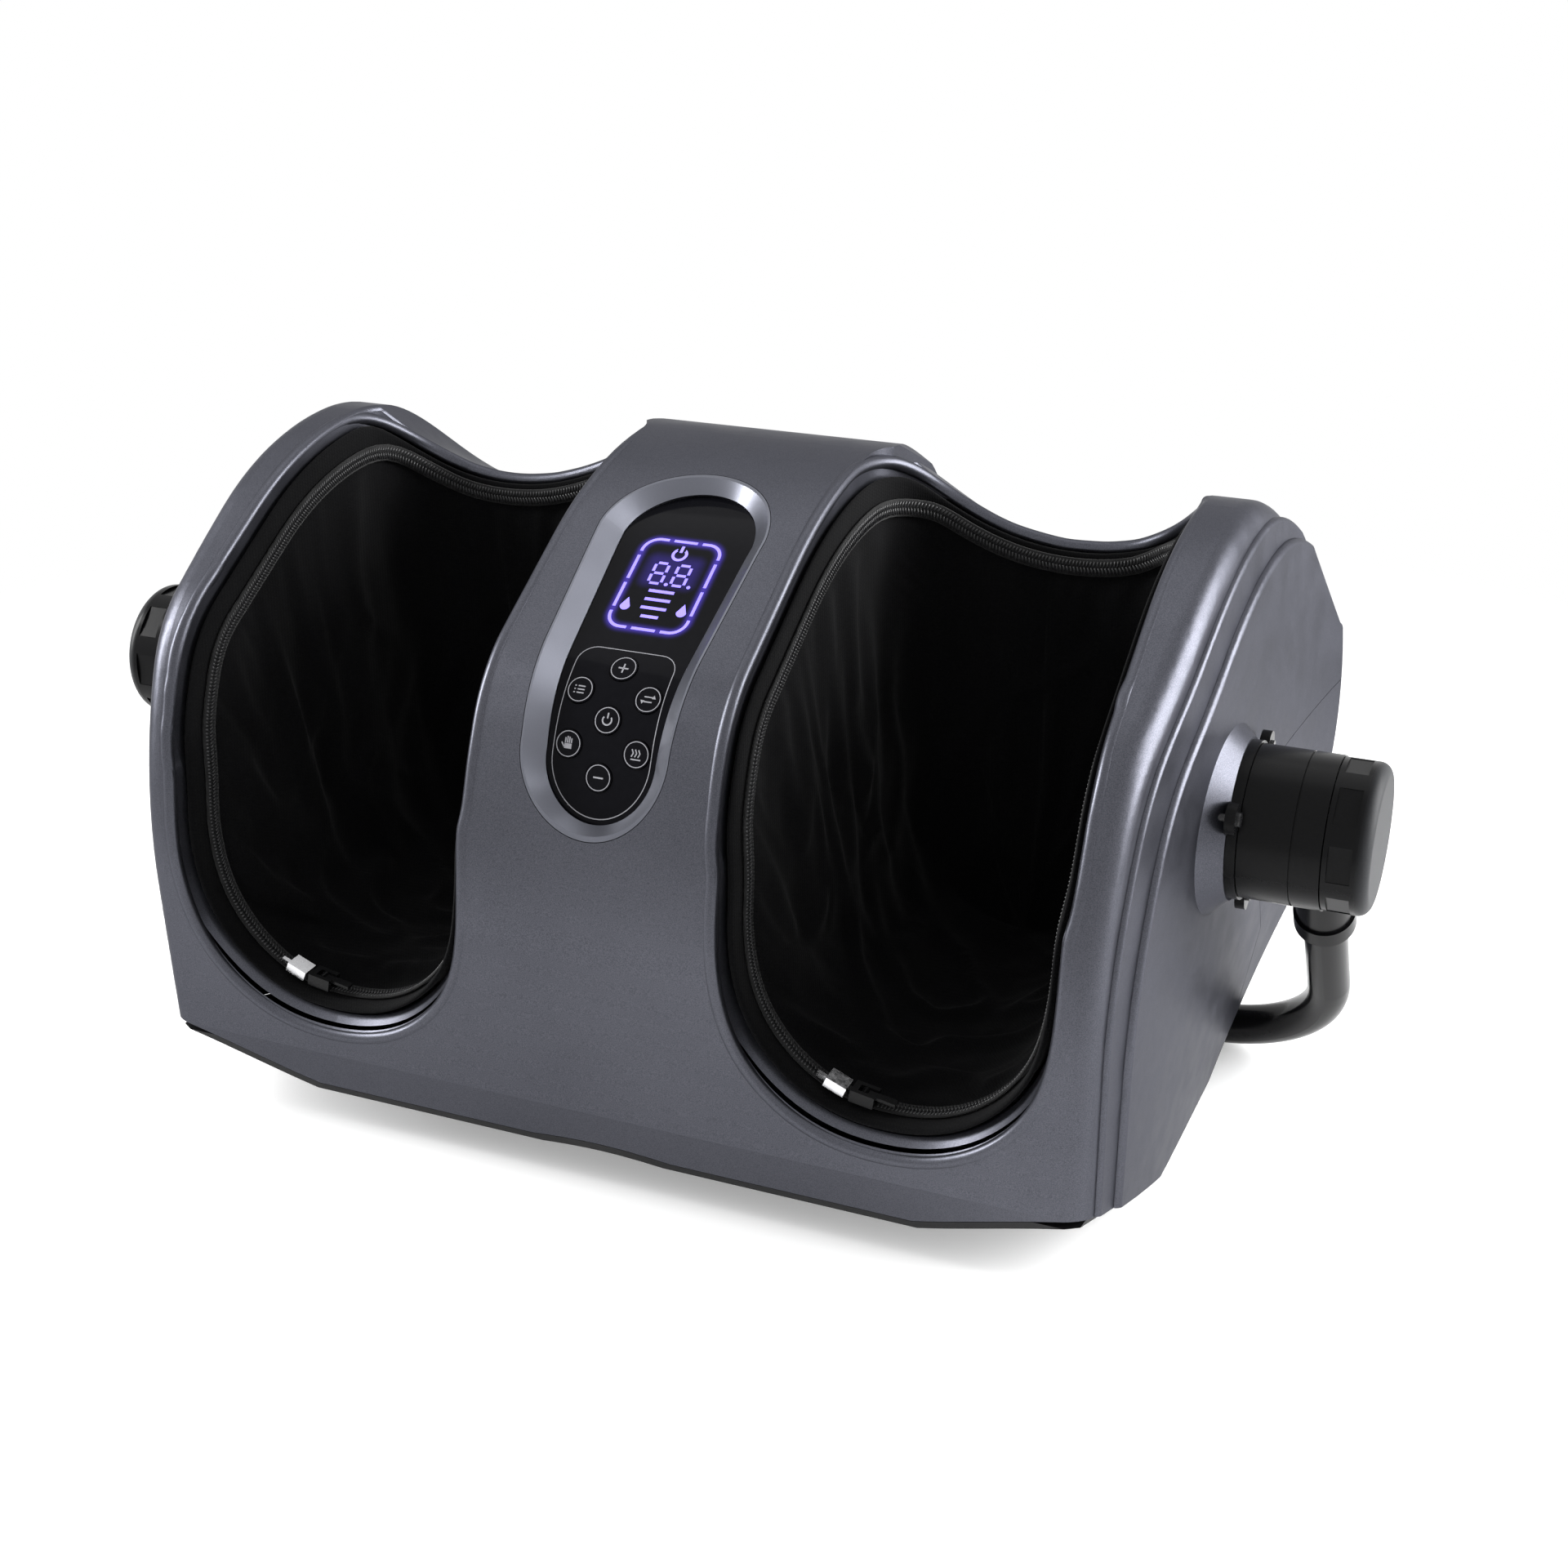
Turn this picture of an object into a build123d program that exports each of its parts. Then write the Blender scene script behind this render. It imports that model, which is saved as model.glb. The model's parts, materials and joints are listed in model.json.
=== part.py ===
from build123d import *
from math import asin, atan2, cos, degrees, radians, sin
import os

os.makedirs("parts", exist_ok=True)

# Foot massager with a swinging carry bar. Millimetres, front towards -Y, up is +Z.
# The origin lies on the floor below the middle of the footprint.

# Overall form
body_depth = 293.0
front_y = -body_depth / 2
slab_half = 260.0
toe_depth = 3.4
toe_height = 40.0
brow_height = 106.0
brow_radius = 200.0
brow_turn = 27.0
bend_radius = 63.0
bend_turn = 36.0
slope_run = 46.0
crest_radius = 165.0
fall_radius = 95.0
fall_turn = 50.0
console_slope_run = 52.0
console_crest_radius = 176.0
console_fall_turn = 52.0
console_half = 57.5
kink_depth = 273.0
kink_height = 194.0
ledge_depth = 289.0
ledge_height = 184.0
ledge_face_height = 174.0
tail_depth = 288.0
tail_height = 115.0
heel_depth = 265.0
heel_height = 66.0
shin_depth = 190.0
shin_height = 20.0
sole_height = 10.0
sole_back_depth = 172.0
sole_front_depth = 48.0
chin_depth = 9.0
chin_height = 21.0
wall = 3.0
fit = 0.3
slip = 0.05

# Plan outline of the sides at three heights
plan_low_height = -10.0
plan_mid_height = 165.0
plan_top_height = 305.0
plan_front_run = 20.0
plan_shoulder_depth = 41.0
plan_hub_depth = 123.0
plan_rear_depth = 320.0
low_front = 205.0
low_shoulder = 210.0
low_hub = 211.0
low_rear = 214.0
mid_front = 205.0
mid_shoulder = 214.0
mid_hub = 221.5
mid_rear = 248.0
top_front = 205.0
top_shoulder = 213.0
top_hub = 216.0
top_rear = 214.0
core_inset = 4.6
core_round = 10.0
ridge_inset = 2.6
ridge_back = 11.0
ridge_down = 9.0
ridge_round = 2.0
panel_back = 27.0
panel_down = 22.0
panel_round = 2.6


def side_face(run, radius, turn):
    """Side outline of the body, front face, crest and rear in tangent arcs."""
    toe = (front_y + toe_depth, toe_height)
    brow = (front_y, brow_height)
    lean = Line(toe, brow)
    curve = JernArc(start=brow, tangent=lean % 1, radius=brow_radius, arc_size=-brow_turn)
    bend = JernArc(start=curve @ 1, tangent=curve % 1, radius=bend_radius, arc_size=-bend_turn)
    slope = Line(bend @ 1, (bend @ 1) + (bend % 1) * run)
    rest = degrees(atan2((slope % 1).Y, (slope % 1).X))
    crest = JernArc(start=slope @ 1, tangent=slope % 1, radius=radius, arc_size=-rest)
    fall = JernArc(start=crest @ 1, tangent=crest % 1, radius=fall_radius, arc_size=-turn)
    tail = Polyline(
        fall @ 1,
        (front_y + kink_depth, kink_height),
        (front_y + ledge_depth, ledge_height),
        (front_y + body_depth, ledge_face_height),
        (front_y + tail_depth, tail_height),
        (front_y + heel_depth, heel_height),
        (front_y + shin_depth, shin_height),
        (front_y + sole_back_depth, sole_height),
        (front_y + sole_front_depth, sole_height),
        (front_y + chin_depth, chin_height),
        toe,
    )
    upper = Wire([lean, curve, bend, slope, crest])
    return make_face([lean, curve, bend, slope, crest, fall, tail]), upper


def slab(face, half=slab_half):
    return extrude(Plane.YZ * face, amount=half, both=True)


def shrunk(face, inset):
    """The face moved in by the inset, or the face itself for an inset of zero."""
    if inset == 0:
        return face
    return offset(face, amount=-inset, kind=Kind.INTERSECTION)


def plan_ring(front, shoulder, hub, rear, height):
    """Plan outline of the body at one height, symmetric about the middle."""
    y_front = front_y - plan_front_run
    y_shoulder = front_y + plan_shoulder_depth
    y_hub = front_y + plan_hub_depth
    y_rear = front_y + plan_rear_depth
    right = Spline((front, y_front), (shoulder, y_shoulder), (hub, y_hub), (rear, y_rear))
    left = Spline((-rear, y_rear), (-hub, y_hub), (-shoulder, y_shoulder), (-front, y_front))
    edges = [Line(left @ 1, right @ 0), right, Line(right @ 1, left @ 0), left]
    return Plane.XY.offset(height) * make_face(edges)


def envelope(inset):
    low = [size - inset for size in (low_front, low_shoulder, low_hub, low_rear)]
    mid = [size - inset for size in (mid_front, mid_shoulder, mid_hub, mid_rear)]
    top = [size - inset for size in (top_front, top_shoulder, top_hub, top_rear)]
    return loft([
        plan_ring(*low, plan_low_height),
        plan_ring(*mid, plan_mid_height),
        plan_ring(*top, plan_top_height),
    ])


def outer_sides(solid):
    ordered = solid.faces().sort_by(Axis.X)
    return ordered[0].edges() + ordered[-1].edges()


main_face, main_path = side_face(slope_run, crest_radius, fall_turn)
console_face, console_path = side_face(console_slope_run, console_crest_radius, console_fall_turn)


def tier(back, down, inset, round_size):
    """A raised band of the side that starts behind the front edge and below the crest."""
    face = main_face & (Pos(back, -down) * main_face)
    raised = slab(face) & envelope(inset)
    return fillet(outer_sides(raised), round_size)


core = slab(main_face) & envelope(core_inset)
core = fillet(outer_sides(core), core_round)
ridge = tier(ridge_back, ridge_down, ridge_inset, ridge_round)
panel = tier(panel_back, panel_down, 0, panel_round)
console_block = slab(console_face, console_half)
form = core + ridge + panel + console_block

# Axis of the carry bar, and the room that the bar's sweep leaves for the rear of the body
axis_depth = 123.4
axis_height = 160.0
axis_y = front_y + axis_depth
room_half = 246.0
room_reach = 173.0
room_round = 48.5
room_start = 150.0
room_ahead = 400.0


def bar_room(inset):
    """Limit of the body: free ahead of the axis, and a rounded drum about it behind."""
    across_axis = Plane(origin=(0, axis_y, axis_height), x_dir=(1, 0, 0), z_dir=(0, -1, 0))
    outline = RectangleRounded(2 * (room_half - inset), 2 * (room_reach - inset), room_round - inset)
    upper = Pos(0, room_reach / 2) * Rectangle(2 * room_half, room_reach)
    drum = revolve(across_axis * (outline & upper), axis=Axis((0, axis_y, axis_height), (1, 0, 0)))
    ahead = Box(2 * slab_half, room_ahead, room_ahead)
    return drum + Pos(0, front_y + room_start - room_ahead / 2, axis_height) * ahead


form &= bar_room(0)

# Wave of the lower front edge, low under the wells and lifted at the outer corners
wave_centre_height = 21.0
wave_low_x = 104.0
wave_low_height = 14.0
wave_outer_x = 196.0
wave_outer_height = 36.0
wave_end_x = 280.0
wave_end_height = 41.0
wave_floor = -60.0
wave_slope = 20.0
wave_start_depth = -30.0
wave_start_drop = 16.2
wave_run = 190.0


def wave_cutter(drop):
    """Everything below the wavy edge, running back and down."""
    upper = Spline(
        (-wave_end_x, wave_end_height),
        (-wave_outer_x, wave_outer_height),
        (-wave_low_x, wave_low_height),
        (0, wave_centre_height),
        (wave_low_x, wave_low_height),
        (wave_outer_x, wave_outer_height),
        (wave_end_x, wave_end_height),
    )
    lower = Polyline(
        upper @ 1, (wave_end_x, wave_floor), (-wave_end_x, wave_floor), upper @ 0
    )
    face = make_face([upper, lower])
    start = Plane(
        origin=(0, front_y + wave_start_depth, wave_start_drop - drop),
        x_dir=(1, 0, 0),
        z_dir=(0, -1, 0),
    )
    direction = Vector(0, cos(radians(wave_slope)), -sin(radians(wave_slope)))
    return extrude(start * face, amount=wave_run, dir=direction)


form -= wave_cutter(0)

# Leg wells
well_centre = 122.3
well_lip = 57.0
quarter_half = 45.5
quarter_height = 75.5
flank_half = 61.5
flank_height = 103.0
waist_half = 66.3
waist_height = 156.0
shoulder_half = 69.6
shoulder_height = 215.0
well_top = 330.0
well_back_depth = 199.0
well_back_round = 30.0
well_run = 260.0
well_least_round = 1.0
well_steps = 12
bevel_run = 16.0
bevel_back = 11.0
bevel_drop = 13.0
bevel_widen = 1.6
lip_deep = 13.0
rim_round = 2.2
rim_near = 0.02
rim_from_depth = 160.0
rim_from_x = 110.0
rim_shares = (0.1, 0.5, 0.9)
saddle_depth = 199.0
saddle_height = 280.0
saddle_slope = 24.0
saddle_before = 36.0
saddle_run = 160.0
saddle_inner_end = (-74.0, 281.0)
saddle_inner = (-46.0, 257.5)
saddle_low = (14.0, 240.0)
saddle_outer = (54.0, 250.5)
saddle_outer_end = (77.0, 275.0)
saddle_above = 60.0
saddle_steps = 16


def well_side(widen, lower):
    """Right half of a well opening, from the middle of its floor to its shoulder."""
    return Spline(
        (0, well_lip - lower),
        (quarter_half + widen, quarter_height - lower),
        (flank_half + widen, flank_height - lower),
        (waist_half + widen, waist_height),
        (shoulder_half + widen, shoulder_height),
        tangents=((1, 0), (0, 1)),
    )


def well_face(widen=0, lower=0, inset=0):
    """Front view of a well opening about its own middle, moved in by the inset."""
    right = well_side(widen, lower)
    if inset != 0:
        points = []
        for step in range(well_steps + 1):
            spot = right.position_at(step / well_steps)
            along = right.tangent_at(step / well_steps)
            points.append((spot.X - along.Y * inset, spot.Y + along.X * inset))
        right = Spline(*points, tangents=((1, 0), (0, 1)))
    half = shoulder_half + widen - inset
    left = mirror(right, about=Plane.YZ)
    top = Polyline(
        right @ 1,
        (half, well_top),
        (-half, well_top),
        (-half, shoulder_height),
    )
    return make_face([right, top, left])


def well_prism(side, inset, back_inset=None):
    """The clear space of one well, moved in from its walls by the inset."""
    back = inset if back_inset is None else back_inset
    face = Pos(side * well_centre, 0) * well_face(inset=inset)
    along = extrude(Plane.XZ * face, amount=well_run)
    along = Pos(0, front_y + well_back_depth - back, 0) * along
    half = shoulder_half - inset
    corner = max(well_back_round - inset, well_least_round)
    middle = Pos(side * well_centre, front_y + well_back_depth - back - well_run / 2)
    plan = middle * RectangleRounded(2 * half, well_run, corner)
    return along & extrude(plan, amount=well_top)


def lip_bevel(side):
    """The sloped lower lip, wide at the front and meeting the well further in."""
    front_plane = Plane(
        origin=(side * well_centre, front_y + bevel_back - bevel_run, 0), x_dir=(1, 0, 0), z_dir=(0, -1, 0)
    )
    rear_plane = Plane(
        origin=(side * well_centre, front_y + bevel_back, 0), x_dir=(1, 0, 0), z_dir=(0, -1, 0)
    )
    return loft([front_plane * well_face(bevel_widen, bevel_drop), rear_plane * well_face()], ruled=True)


def saddle_face(side, grow):
    """Section of the dip with Y down, low towards the outer side, moved out by the growth."""
    squeeze = cos(radians(saddle_slope))
    stations = (saddle_inner_end, saddle_inner, saddle_low, saddle_outer, saddle_outer_end)
    curve = Spline(*[(out, (saddle_height - height) * squeeze) for out, height in stations])
    points = []
    for step in range(saddle_steps + 1):
        spot = curve.position_at(step / saddle_steps)
        along = curve.tangent_at(step / saddle_steps)
        points.append((side * (spot.X - along.Y * grow), spot.Y + along.X * grow))
    rim = Spline(*points)
    inner_x, inner_y = points[0]
    outer_x, outer_y = points[-1]
    roof = Polyline(rim @ 1, (outer_x, -saddle_above), (inner_x, -saddle_above), rim @ 0)
    return make_face([rim, roof])


def saddle(side, grow):
    """The dip of the crest behind a well."""
    slope = radians(saddle_slope)
    start = Plane(
        origin=(
            side * well_centre,
            front_y + saddle_depth - saddle_before,
            saddle_height + saddle_before * sin(slope) / cos(slope),
        ),
        x_dir=(1, 0, 0),
        z_dir=(0, cos(slope), -sin(slope)),
    )
    return extrude(start * saddle_face(side, grow), amount=saddle_run)


for side in (-1, 1):
    form -= saddle(side, 0)
well_cuts = [well_prism(side, 0) for side in (-1, 1)] + [lip_bevel(side) for side in (-1, 1)]
solid_body = form
for cut in well_cuts:
    solid_body -= cut


def lies_on(edge, solid):
    """Whether the edge runs on the surface of the solid."""
    spots = [Vertex(*edge.position_at(share)) for share in rim_shares]
    return all(min(face.distance_to(spot) for face in solid.faces()) < rim_near for spot in spots)


rim_edges = []
for edge in solid_body.edges():
    middle = edge.position_at(0.5)
    behind = middle.Y > front_y + rim_from_depth and abs(middle.X) > rim_from_x
    if behind and lies_on(edge, well_cuts[0 if middle.X < 0 else 1]) and lies_on(edge, form):
        rim_edges.append(edge)
solid_body = solid_body.fillet(rim_round, rim_edges)

# Cavity of the body, leaving the skin and a short wall round each well
cavity = slab(shrunk(main_face, wall)) & envelope(core_inset + wall)
cavity += slab(shrunk(console_face, wall), console_half - wall)
cavity &= bar_room(wall)
for side in (-1, 1):
    cavity -= saddle(side, wall)
    lip = well_prism(side, -wall) - slab(shrunk(main_face, lip_deep))
    cavity -= lip
open_height = 26.0
open_front = 20.0
open_back = 262.0
open_box = Box(
    2 * slab_half,
    open_back - open_front,
    open_height,
    align=(Align.CENTER, Align.MIN, Align.MIN),
)
base_opening = Pos(0, front_y + open_front, 0) * open_box & envelope(core_inset + wall)

# Bosses for the bar on both sides
boss_foot_x = 214.0
boss_face_x = 227.0
boss_foot_radius = 45.0
boss_face_radius = 32.5
stud_radius = 5.0
stud_clear = 0.4


def axial(side, x):
    """A plane across the bar axis, facing outwards on the given side."""
    return Plane(origin=(side * x, axis_y, axis_height), x_dir=(0, 1, 0), z_dir=(side, 0, 0))


def disc(side, x_from, x_to, radius, end_radius=None):
    start = axial(side, x_from) * Circle(radius)
    if end_radius is None:
        return extrude(start, amount=x_to - x_from)
    return loft([start, axial(side, x_to) * Circle(end_radius)])


shell = solid_body
for side in (-1, 1):
    shell += disc(side, boss_foot_x, boss_face_x, boss_foot_radius, boss_face_radius)
shell -= cavity
shell -= base_opening
for side in (-1, 1):
    shell -= disc(side, boss_foot_x - boss_foot_radius, boss_face_x + wall, stud_radius + stud_clear)

# Split into the front shell and the rear shell
split_ledge_height = 172.0
split_hub_depth = 150.0
split_hub_height = 157.0
split_low_depth = 208.0
split_low_height = 72.0
split_base_depth = 186.0
split_far = 340.0
split_face = make_face(
    Polyline(
        (front_y + split_far, split_ledge_height),
        (front_y + split_hub_depth, split_hub_height),
        (front_y + split_low_depth, split_low_height),
        (front_y + split_base_depth, 0),
        (front_y + split_far, 0),
        (front_y + split_far, split_ledge_height),
    )
)
rear_block = slab(split_face)
rear_gap = slab(offset(split_face, amount=fit, kind=Kind.INTERSECTION))
rear_shell = shell & rear_block
front_shell = shell - rear_gap

# Black base tray under the shells
tray_drop = 3.5
tray_back = 1.2
tray_inset = 7.5
tray_top = 36.0
lowered = Pos(0, tray_back, -tray_drop) * (slab(main_face) & envelope(tray_inset))
lowered -= wave_cutter(tray_drop)
upper_form = Pos(0, 0, -fit) * (slab(main_face) - wave_cutter(0))
tray = lowered - upper_form
tray = tray & Box(2 * slab_half, 2 * body_depth, 2 * tray_top)


# Console bezel, lens and keys, laid out on a plane tilted over the console front
panel_depth = 36.6
panel_height = 220.8
panel_tilt = 45.0
panel_reach = 60.0
egg_top_v = 67.0
egg_top_radius = 36.5
egg_low_v = -34.0
egg_low_radius = 31.5
bezel_depth = 9.5
bezel_width = 8.2
bezel_bevel = 7.0
bezel_flange = 5.0
lens_depth = 7.5
lens_thick = 2.0
lens_gap = 0.3
carrier_start = 9.8
carrier_end = 12.3
carrier_inset = 3.0
membrane_start = 13.4
membrane_end = 14.4
membrane_inset = 9.0
panel_plane = Plane(
    origin=(0, front_y + panel_depth, panel_height),
    x_dir=(1, 0, 0),
    z_dir=(0, -sin(radians(panel_tilt)), cos(radians(panel_tilt))),
)


def egg_face(inset):
    """Rounded outline, wide at the top and narrower at the foot."""
    top_radius = egg_top_radius - inset
    low_radius = egg_low_radius - inset
    lean = asin((egg_top_radius - egg_low_radius) / (egg_top_v - egg_low_v))
    top_x = top_radius * cos(lean)
    top_y = egg_top_v + top_radius * sin(lean)
    low_x = low_radius * cos(lean)
    low_y = egg_low_v + low_radius * sin(lean)
    return make_face([
        Line((low_x, low_y), (top_x, top_y)),
        ThreePointArc((top_x, top_y), (0, egg_top_v + top_radius), (-top_x, top_y)),
        Line((-top_x, top_y), (-low_x, low_y)),
        ThreePointArc((-low_x, low_y), (0, egg_low_v - low_radius), (low_x, low_y)),
    ])


def egg(inset):
    return extrude(panel_plane * egg_face(inset), amount=panel_reach, both=True)


def layer(start, end, half=console_half):
    """A curved layer between two depths below the console surface."""
    return slab(shrunk(console_face, start), half) - slab(shrunk(console_face, end), half)


def seat(v, sink):
    """Plane on the console surface, sunk inwards, whose centre lies at the given height up the panel."""
    low = 0.0
    high = 1.0
    up = Vector(cos(radians(panel_tilt)), sin(radians(panel_tilt)))
    centre = Vector(front_y + panel_depth, panel_height)
    for _ in range(40):
        middle = (low + high) / 2
        point = console_path.position_at(middle)
        tangent = console_path.tangent_at(middle)
        inner = point + Vector(tangent.Y, -tangent.X) * sink
        if (inner - centre).dot(up) < v:
            low = middle
        else:
            high = middle
    return Plane(origin=(0, inner.X, inner.Y), x_dir=(1, 0, 0), z_dir=(0, -tangent.Y, tangent.X))


front_shell -= egg(0) & slab(console_face, console_half)
bezel = (egg(fit) & layer(0, bezel_depth)) + (egg(-bezel_flange) & layer(wall + fit, bezel_depth))
opening_tool = egg(bezel_width)
bezel_cut = bezel - opening_tool
outer_edges = [
    edge
    for edge in new_edges(bezel, opening_tool, combined=bezel_cut)
    if Vertex(edge.center().Y, edge.center().Z, 0).distance_to(console_path) < wall / 2
]
bezel = chamfer(outer_edges, bezel_bevel)

# Keys in a ring of six round one
key_radius = 5.6
key_gap = 0.35
key_proud = 0.4
key_cap = 1.5
key_stem_radius = 3.0
key_stem_end = 11.6
key_side = 14.5
dome_radius = 3.2
dome_top = 12.15
key_speed_up_v = 2.0
key_mode_v = -9.5
key_power_v = -19.8
key_manual_v = -30.4
key_speed_down_v = -40.6
key_places = {
    "key_speed_up": (0, key_speed_up_v),
    "key_mode": (-key_side, key_mode_v),
    "key_direction": (key_side, key_mode_v),
    "key_power": (0, key_power_v),
    "key_manual": (-key_side, key_manual_v),
    "key_heat": (key_side, key_manual_v),
    "key_speed_down": (0, key_speed_down_v),
}


def key_prism(place, radius, start, end):
    x, v = place
    plane = seat(v, lens_depth).offset(lens_depth - start)
    return extrude(plane * Pos(x, 0) * Circle(radius), amount=start - end)


lens = egg(bezel_width + lens_gap) & layer(lens_depth, lens_depth + lens_thick)
carrier = egg(carrier_inset) & layer(carrier_start, carrier_end)
membrane = egg(membrane_inset) & layer(membrane_start, membrane_end)
domes = []
keys = {}
for name, place in key_places.items():
    cap = key_prism(place, key_radius, lens_depth - key_proud, lens_depth + key_cap)
    stem = key_prism(place, key_stem_radius, lens_depth + key_cap, key_stem_end)
    keys[name] = cap + stem
    lens -= key_prism(place, key_radius + key_gap, lens_depth - key_proud, carrier_start)
    carrier -= key_prism(place, dome_radius + key_gap, lens_depth, membrane_start)
    domes.append(key_prism(place, dome_radius, dome_top, membrane_start + slip))

# Control board on posts behind the carrier
board_width = 56.0
board_length = 92.0
board_v = 18.0
board_sink = 38.0
board_thick = 1.6
post_radius = 2.5
post_x = 23.0
post_low_v = -20.0
post_high_v = 56.0


def board_posts(radius):
    posts = []
    for x in (-post_x, post_x):
        for v in (post_low_v, post_high_v):
            foot = panel_plane.offset(-board_sink) * Pos(x, v)
            posts.append(extrude(foot * Circle(radius), amount=panel_reach))
    return posts


for post in board_posts(post_radius):
    carrier += post & slab(shrunk(console_face, carrier_end - slip))
for post in board_posts(post_radius + fit):
    membrane -= post
control_board = extrude(
    panel_plane.offset(-board_sink) * Pos(0, board_v) * Rectangle(board_width, board_length),
    amount=-board_thick,
)
display_width = 36.0
display_length = 46.0
display_thick = 5.0
display_v = 18.0
display_module = extrude(
    panel_plane.offset(-board_sink) * Pos(0, display_v) * Rectangle(display_width, display_length),
    amount=display_thick,
)

# Lit symbols on the lens
symbol_proud = 0.15
symbol_gap = 0.02
frame_half = 17.4
frame_low = 21.0
frame_high = 68.0
frame_round = 7.0
stroke = 1.3
corner_run = 4.0
power_v = 60.5
power_radius = 3.4
digit_width = 5.6
digit_height = 10.4
digit_v = 50.0
digit_x = 4.9
digit_stroke = 1.2
point_radius = 0.8
bar_first_v = 41.0
bar_pitch = 4.3
bar_long = 11.0
bar_short = 5.0
bar_height = 1.4
flame_x = 12.2
flame_v = 32.0
flame_radius = 2.1
flame_tall = 4.4
symbols = Sketch()
frame_middle = (frame_low + frame_high) / 2
outer_frame = RectangleRounded(2 * frame_half, frame_high - frame_low, frame_round)
inner_frame = RectangleRounded(
    2 * (frame_half - stroke), frame_high - frame_low - 2 * stroke, frame_round - stroke
)
frame_band = Pos(0, frame_middle) * (outer_frame - inner_frame)
gap_x = frame_half - frame_round - corner_run / 2
gap_y = (frame_high - frame_low) / 2 - frame_round - corner_run / 2
gap_size = 2.2
for side in (-1, 1):
    frame_band -= Pos(side * (gap_x - gap_size), frame_middle) * Rectangle(gap_size, frame_high)
    frame_band -= Pos(0, frame_middle + side * gap_y) * Rectangle(4 * frame_half, gap_size)
frame_band -= Pos(0, frame_middle) * Rectangle(4 * frame_half, gap_size)
symbols += frame_band
power_ring = Circle(power_radius) - Circle(power_radius - digit_stroke)
power_ring -= Pos(0, power_radius) * Rectangle(3 * digit_stroke, power_radius)
power_ring += Pos(0, power_radius - digit_stroke / 2) * Rectangle(digit_stroke, power_radius)
symbols += Pos(0, power_v) * power_ring
segment_gap = 0.45
half_w = digit_width / 2
half_h = digit_height / 2
for x in (-digit_x, digit_x):
    digit = Sketch()
    for y in (-half_h, 0, half_h):
        digit += Pos(0, y) * Rectangle(digit_width - digit_stroke - segment_gap, digit_stroke)
    for sx in (-1, 1):
        for sy in (-1, 1):
            digit += Pos(sx * half_w, sy * half_h / 2) * Rectangle(
                digit_stroke, half_h - digit_stroke - segment_gap
            )
    digit += Pos(half_w + 2 * digit_stroke, -half_h) * Circle(point_radius)
    symbols += Pos(x, digit_v) * digit
for row in range(4):
    length = bar_long if row < 3 else bar_short + bar_short / 2
    symbols += Pos(0, bar_first_v - row * bar_pitch) * Rectangle(length, bar_height)
for x in (-flame_x, flame_x):
    tip = (x, flame_v + flame_tall)
    drop = make_face([
        ThreePointArc((x - flame_radius, flame_v), (x, flame_v - flame_radius), (x + flame_radius, flame_v)),
        Line((x + flame_radius, flame_v), tip),
        Line(tip, (x - flame_radius, flame_v)),
    ])
    symbols += drop
symbol_prisms = extrude(panel_plane * symbols, amount=panel_reach, both=True)
display_symbols = symbol_prisms & layer(lens_depth - symbol_proud, lens_depth - symbol_gap)

# Well linings, zips and backing
lining_gap = 0.8
lining_thick = 2.8
lining_down = 6.0
saddle_down = 5.0
zip_gap = 0.3
zip_thick = 1.8
zip_start = 15.0
zip_end = 21.0
zip_saddle_start = 7.0
zip_saddle_end = 13.0


def lining_solid(side):
    outer = well_prism(side, lining_gap) & slab(shrunk(main_face, lining_down))
    outer -= saddle(side, saddle_down)
    return outer - well_prism(side, lining_gap + lining_thick)


def zip_solid(side):
    start = lining_gap + lining_thick + zip_gap
    ring = well_prism(side, start) - well_prism(side, start + zip_thick)
    upper = slab(shrunk(main_face, zip_start)) - saddle(side, zip_saddle_start)
    lower = slab(shrunk(main_face, zip_end)) - saddle(side, zip_saddle_end)
    return (ring & upper) - lower


# Zip stop, slider and pull at the front of each well
zip_depth = 18.0
zip_rest = 0.9
stop_offset = -26.0
slider_offset = -13.0
stop_length = 9.0
stop_width = 8.0
stop_height = 4.2
slider_length = 10.0
slider_width = 8.6
slider_height = 5.0
slider_roof = 1.4
pull_length = 13.0
pull_thick = 1.2
pull_eye = 0.8
pull_pin = 0.7


def zip_plane(side, offset_x):
    """A plane resting on the chain, with X along the chain and Z out of the lining."""
    half_floor = well_side(0, 0)
    low = 0.0
    high = 1.0
    for _ in range(30):
        middle = (low + high) / 2
        spot = half_floor.position_at(middle)
        if spot.X < abs(offset_x):
            low = middle
        else:
            high = middle
    along = half_floor.tangent_at(middle)
    turn = 1 if offset_x > 0 else -1
    lift = lining_gap + lining_thick + zip_gap + zip_thick + zip_rest
    reach = turn * (spot.X - along.Y * lift)
    return Plane(
        origin=(side * well_centre + reach, front_y + zip_depth, spot.Y + along.X * lift),
        x_dir=(along.X, 0, turn * along.Y),
        z_dir=(-turn * along.Y, 0, along.X),
    )


def placed_box(plane, length, width, height, lift=0):
    block = Box(length, width, height, align=(Align.CENTER, Align.CENTER, Align.MIN))
    return plane.offset(lift) * block


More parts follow.
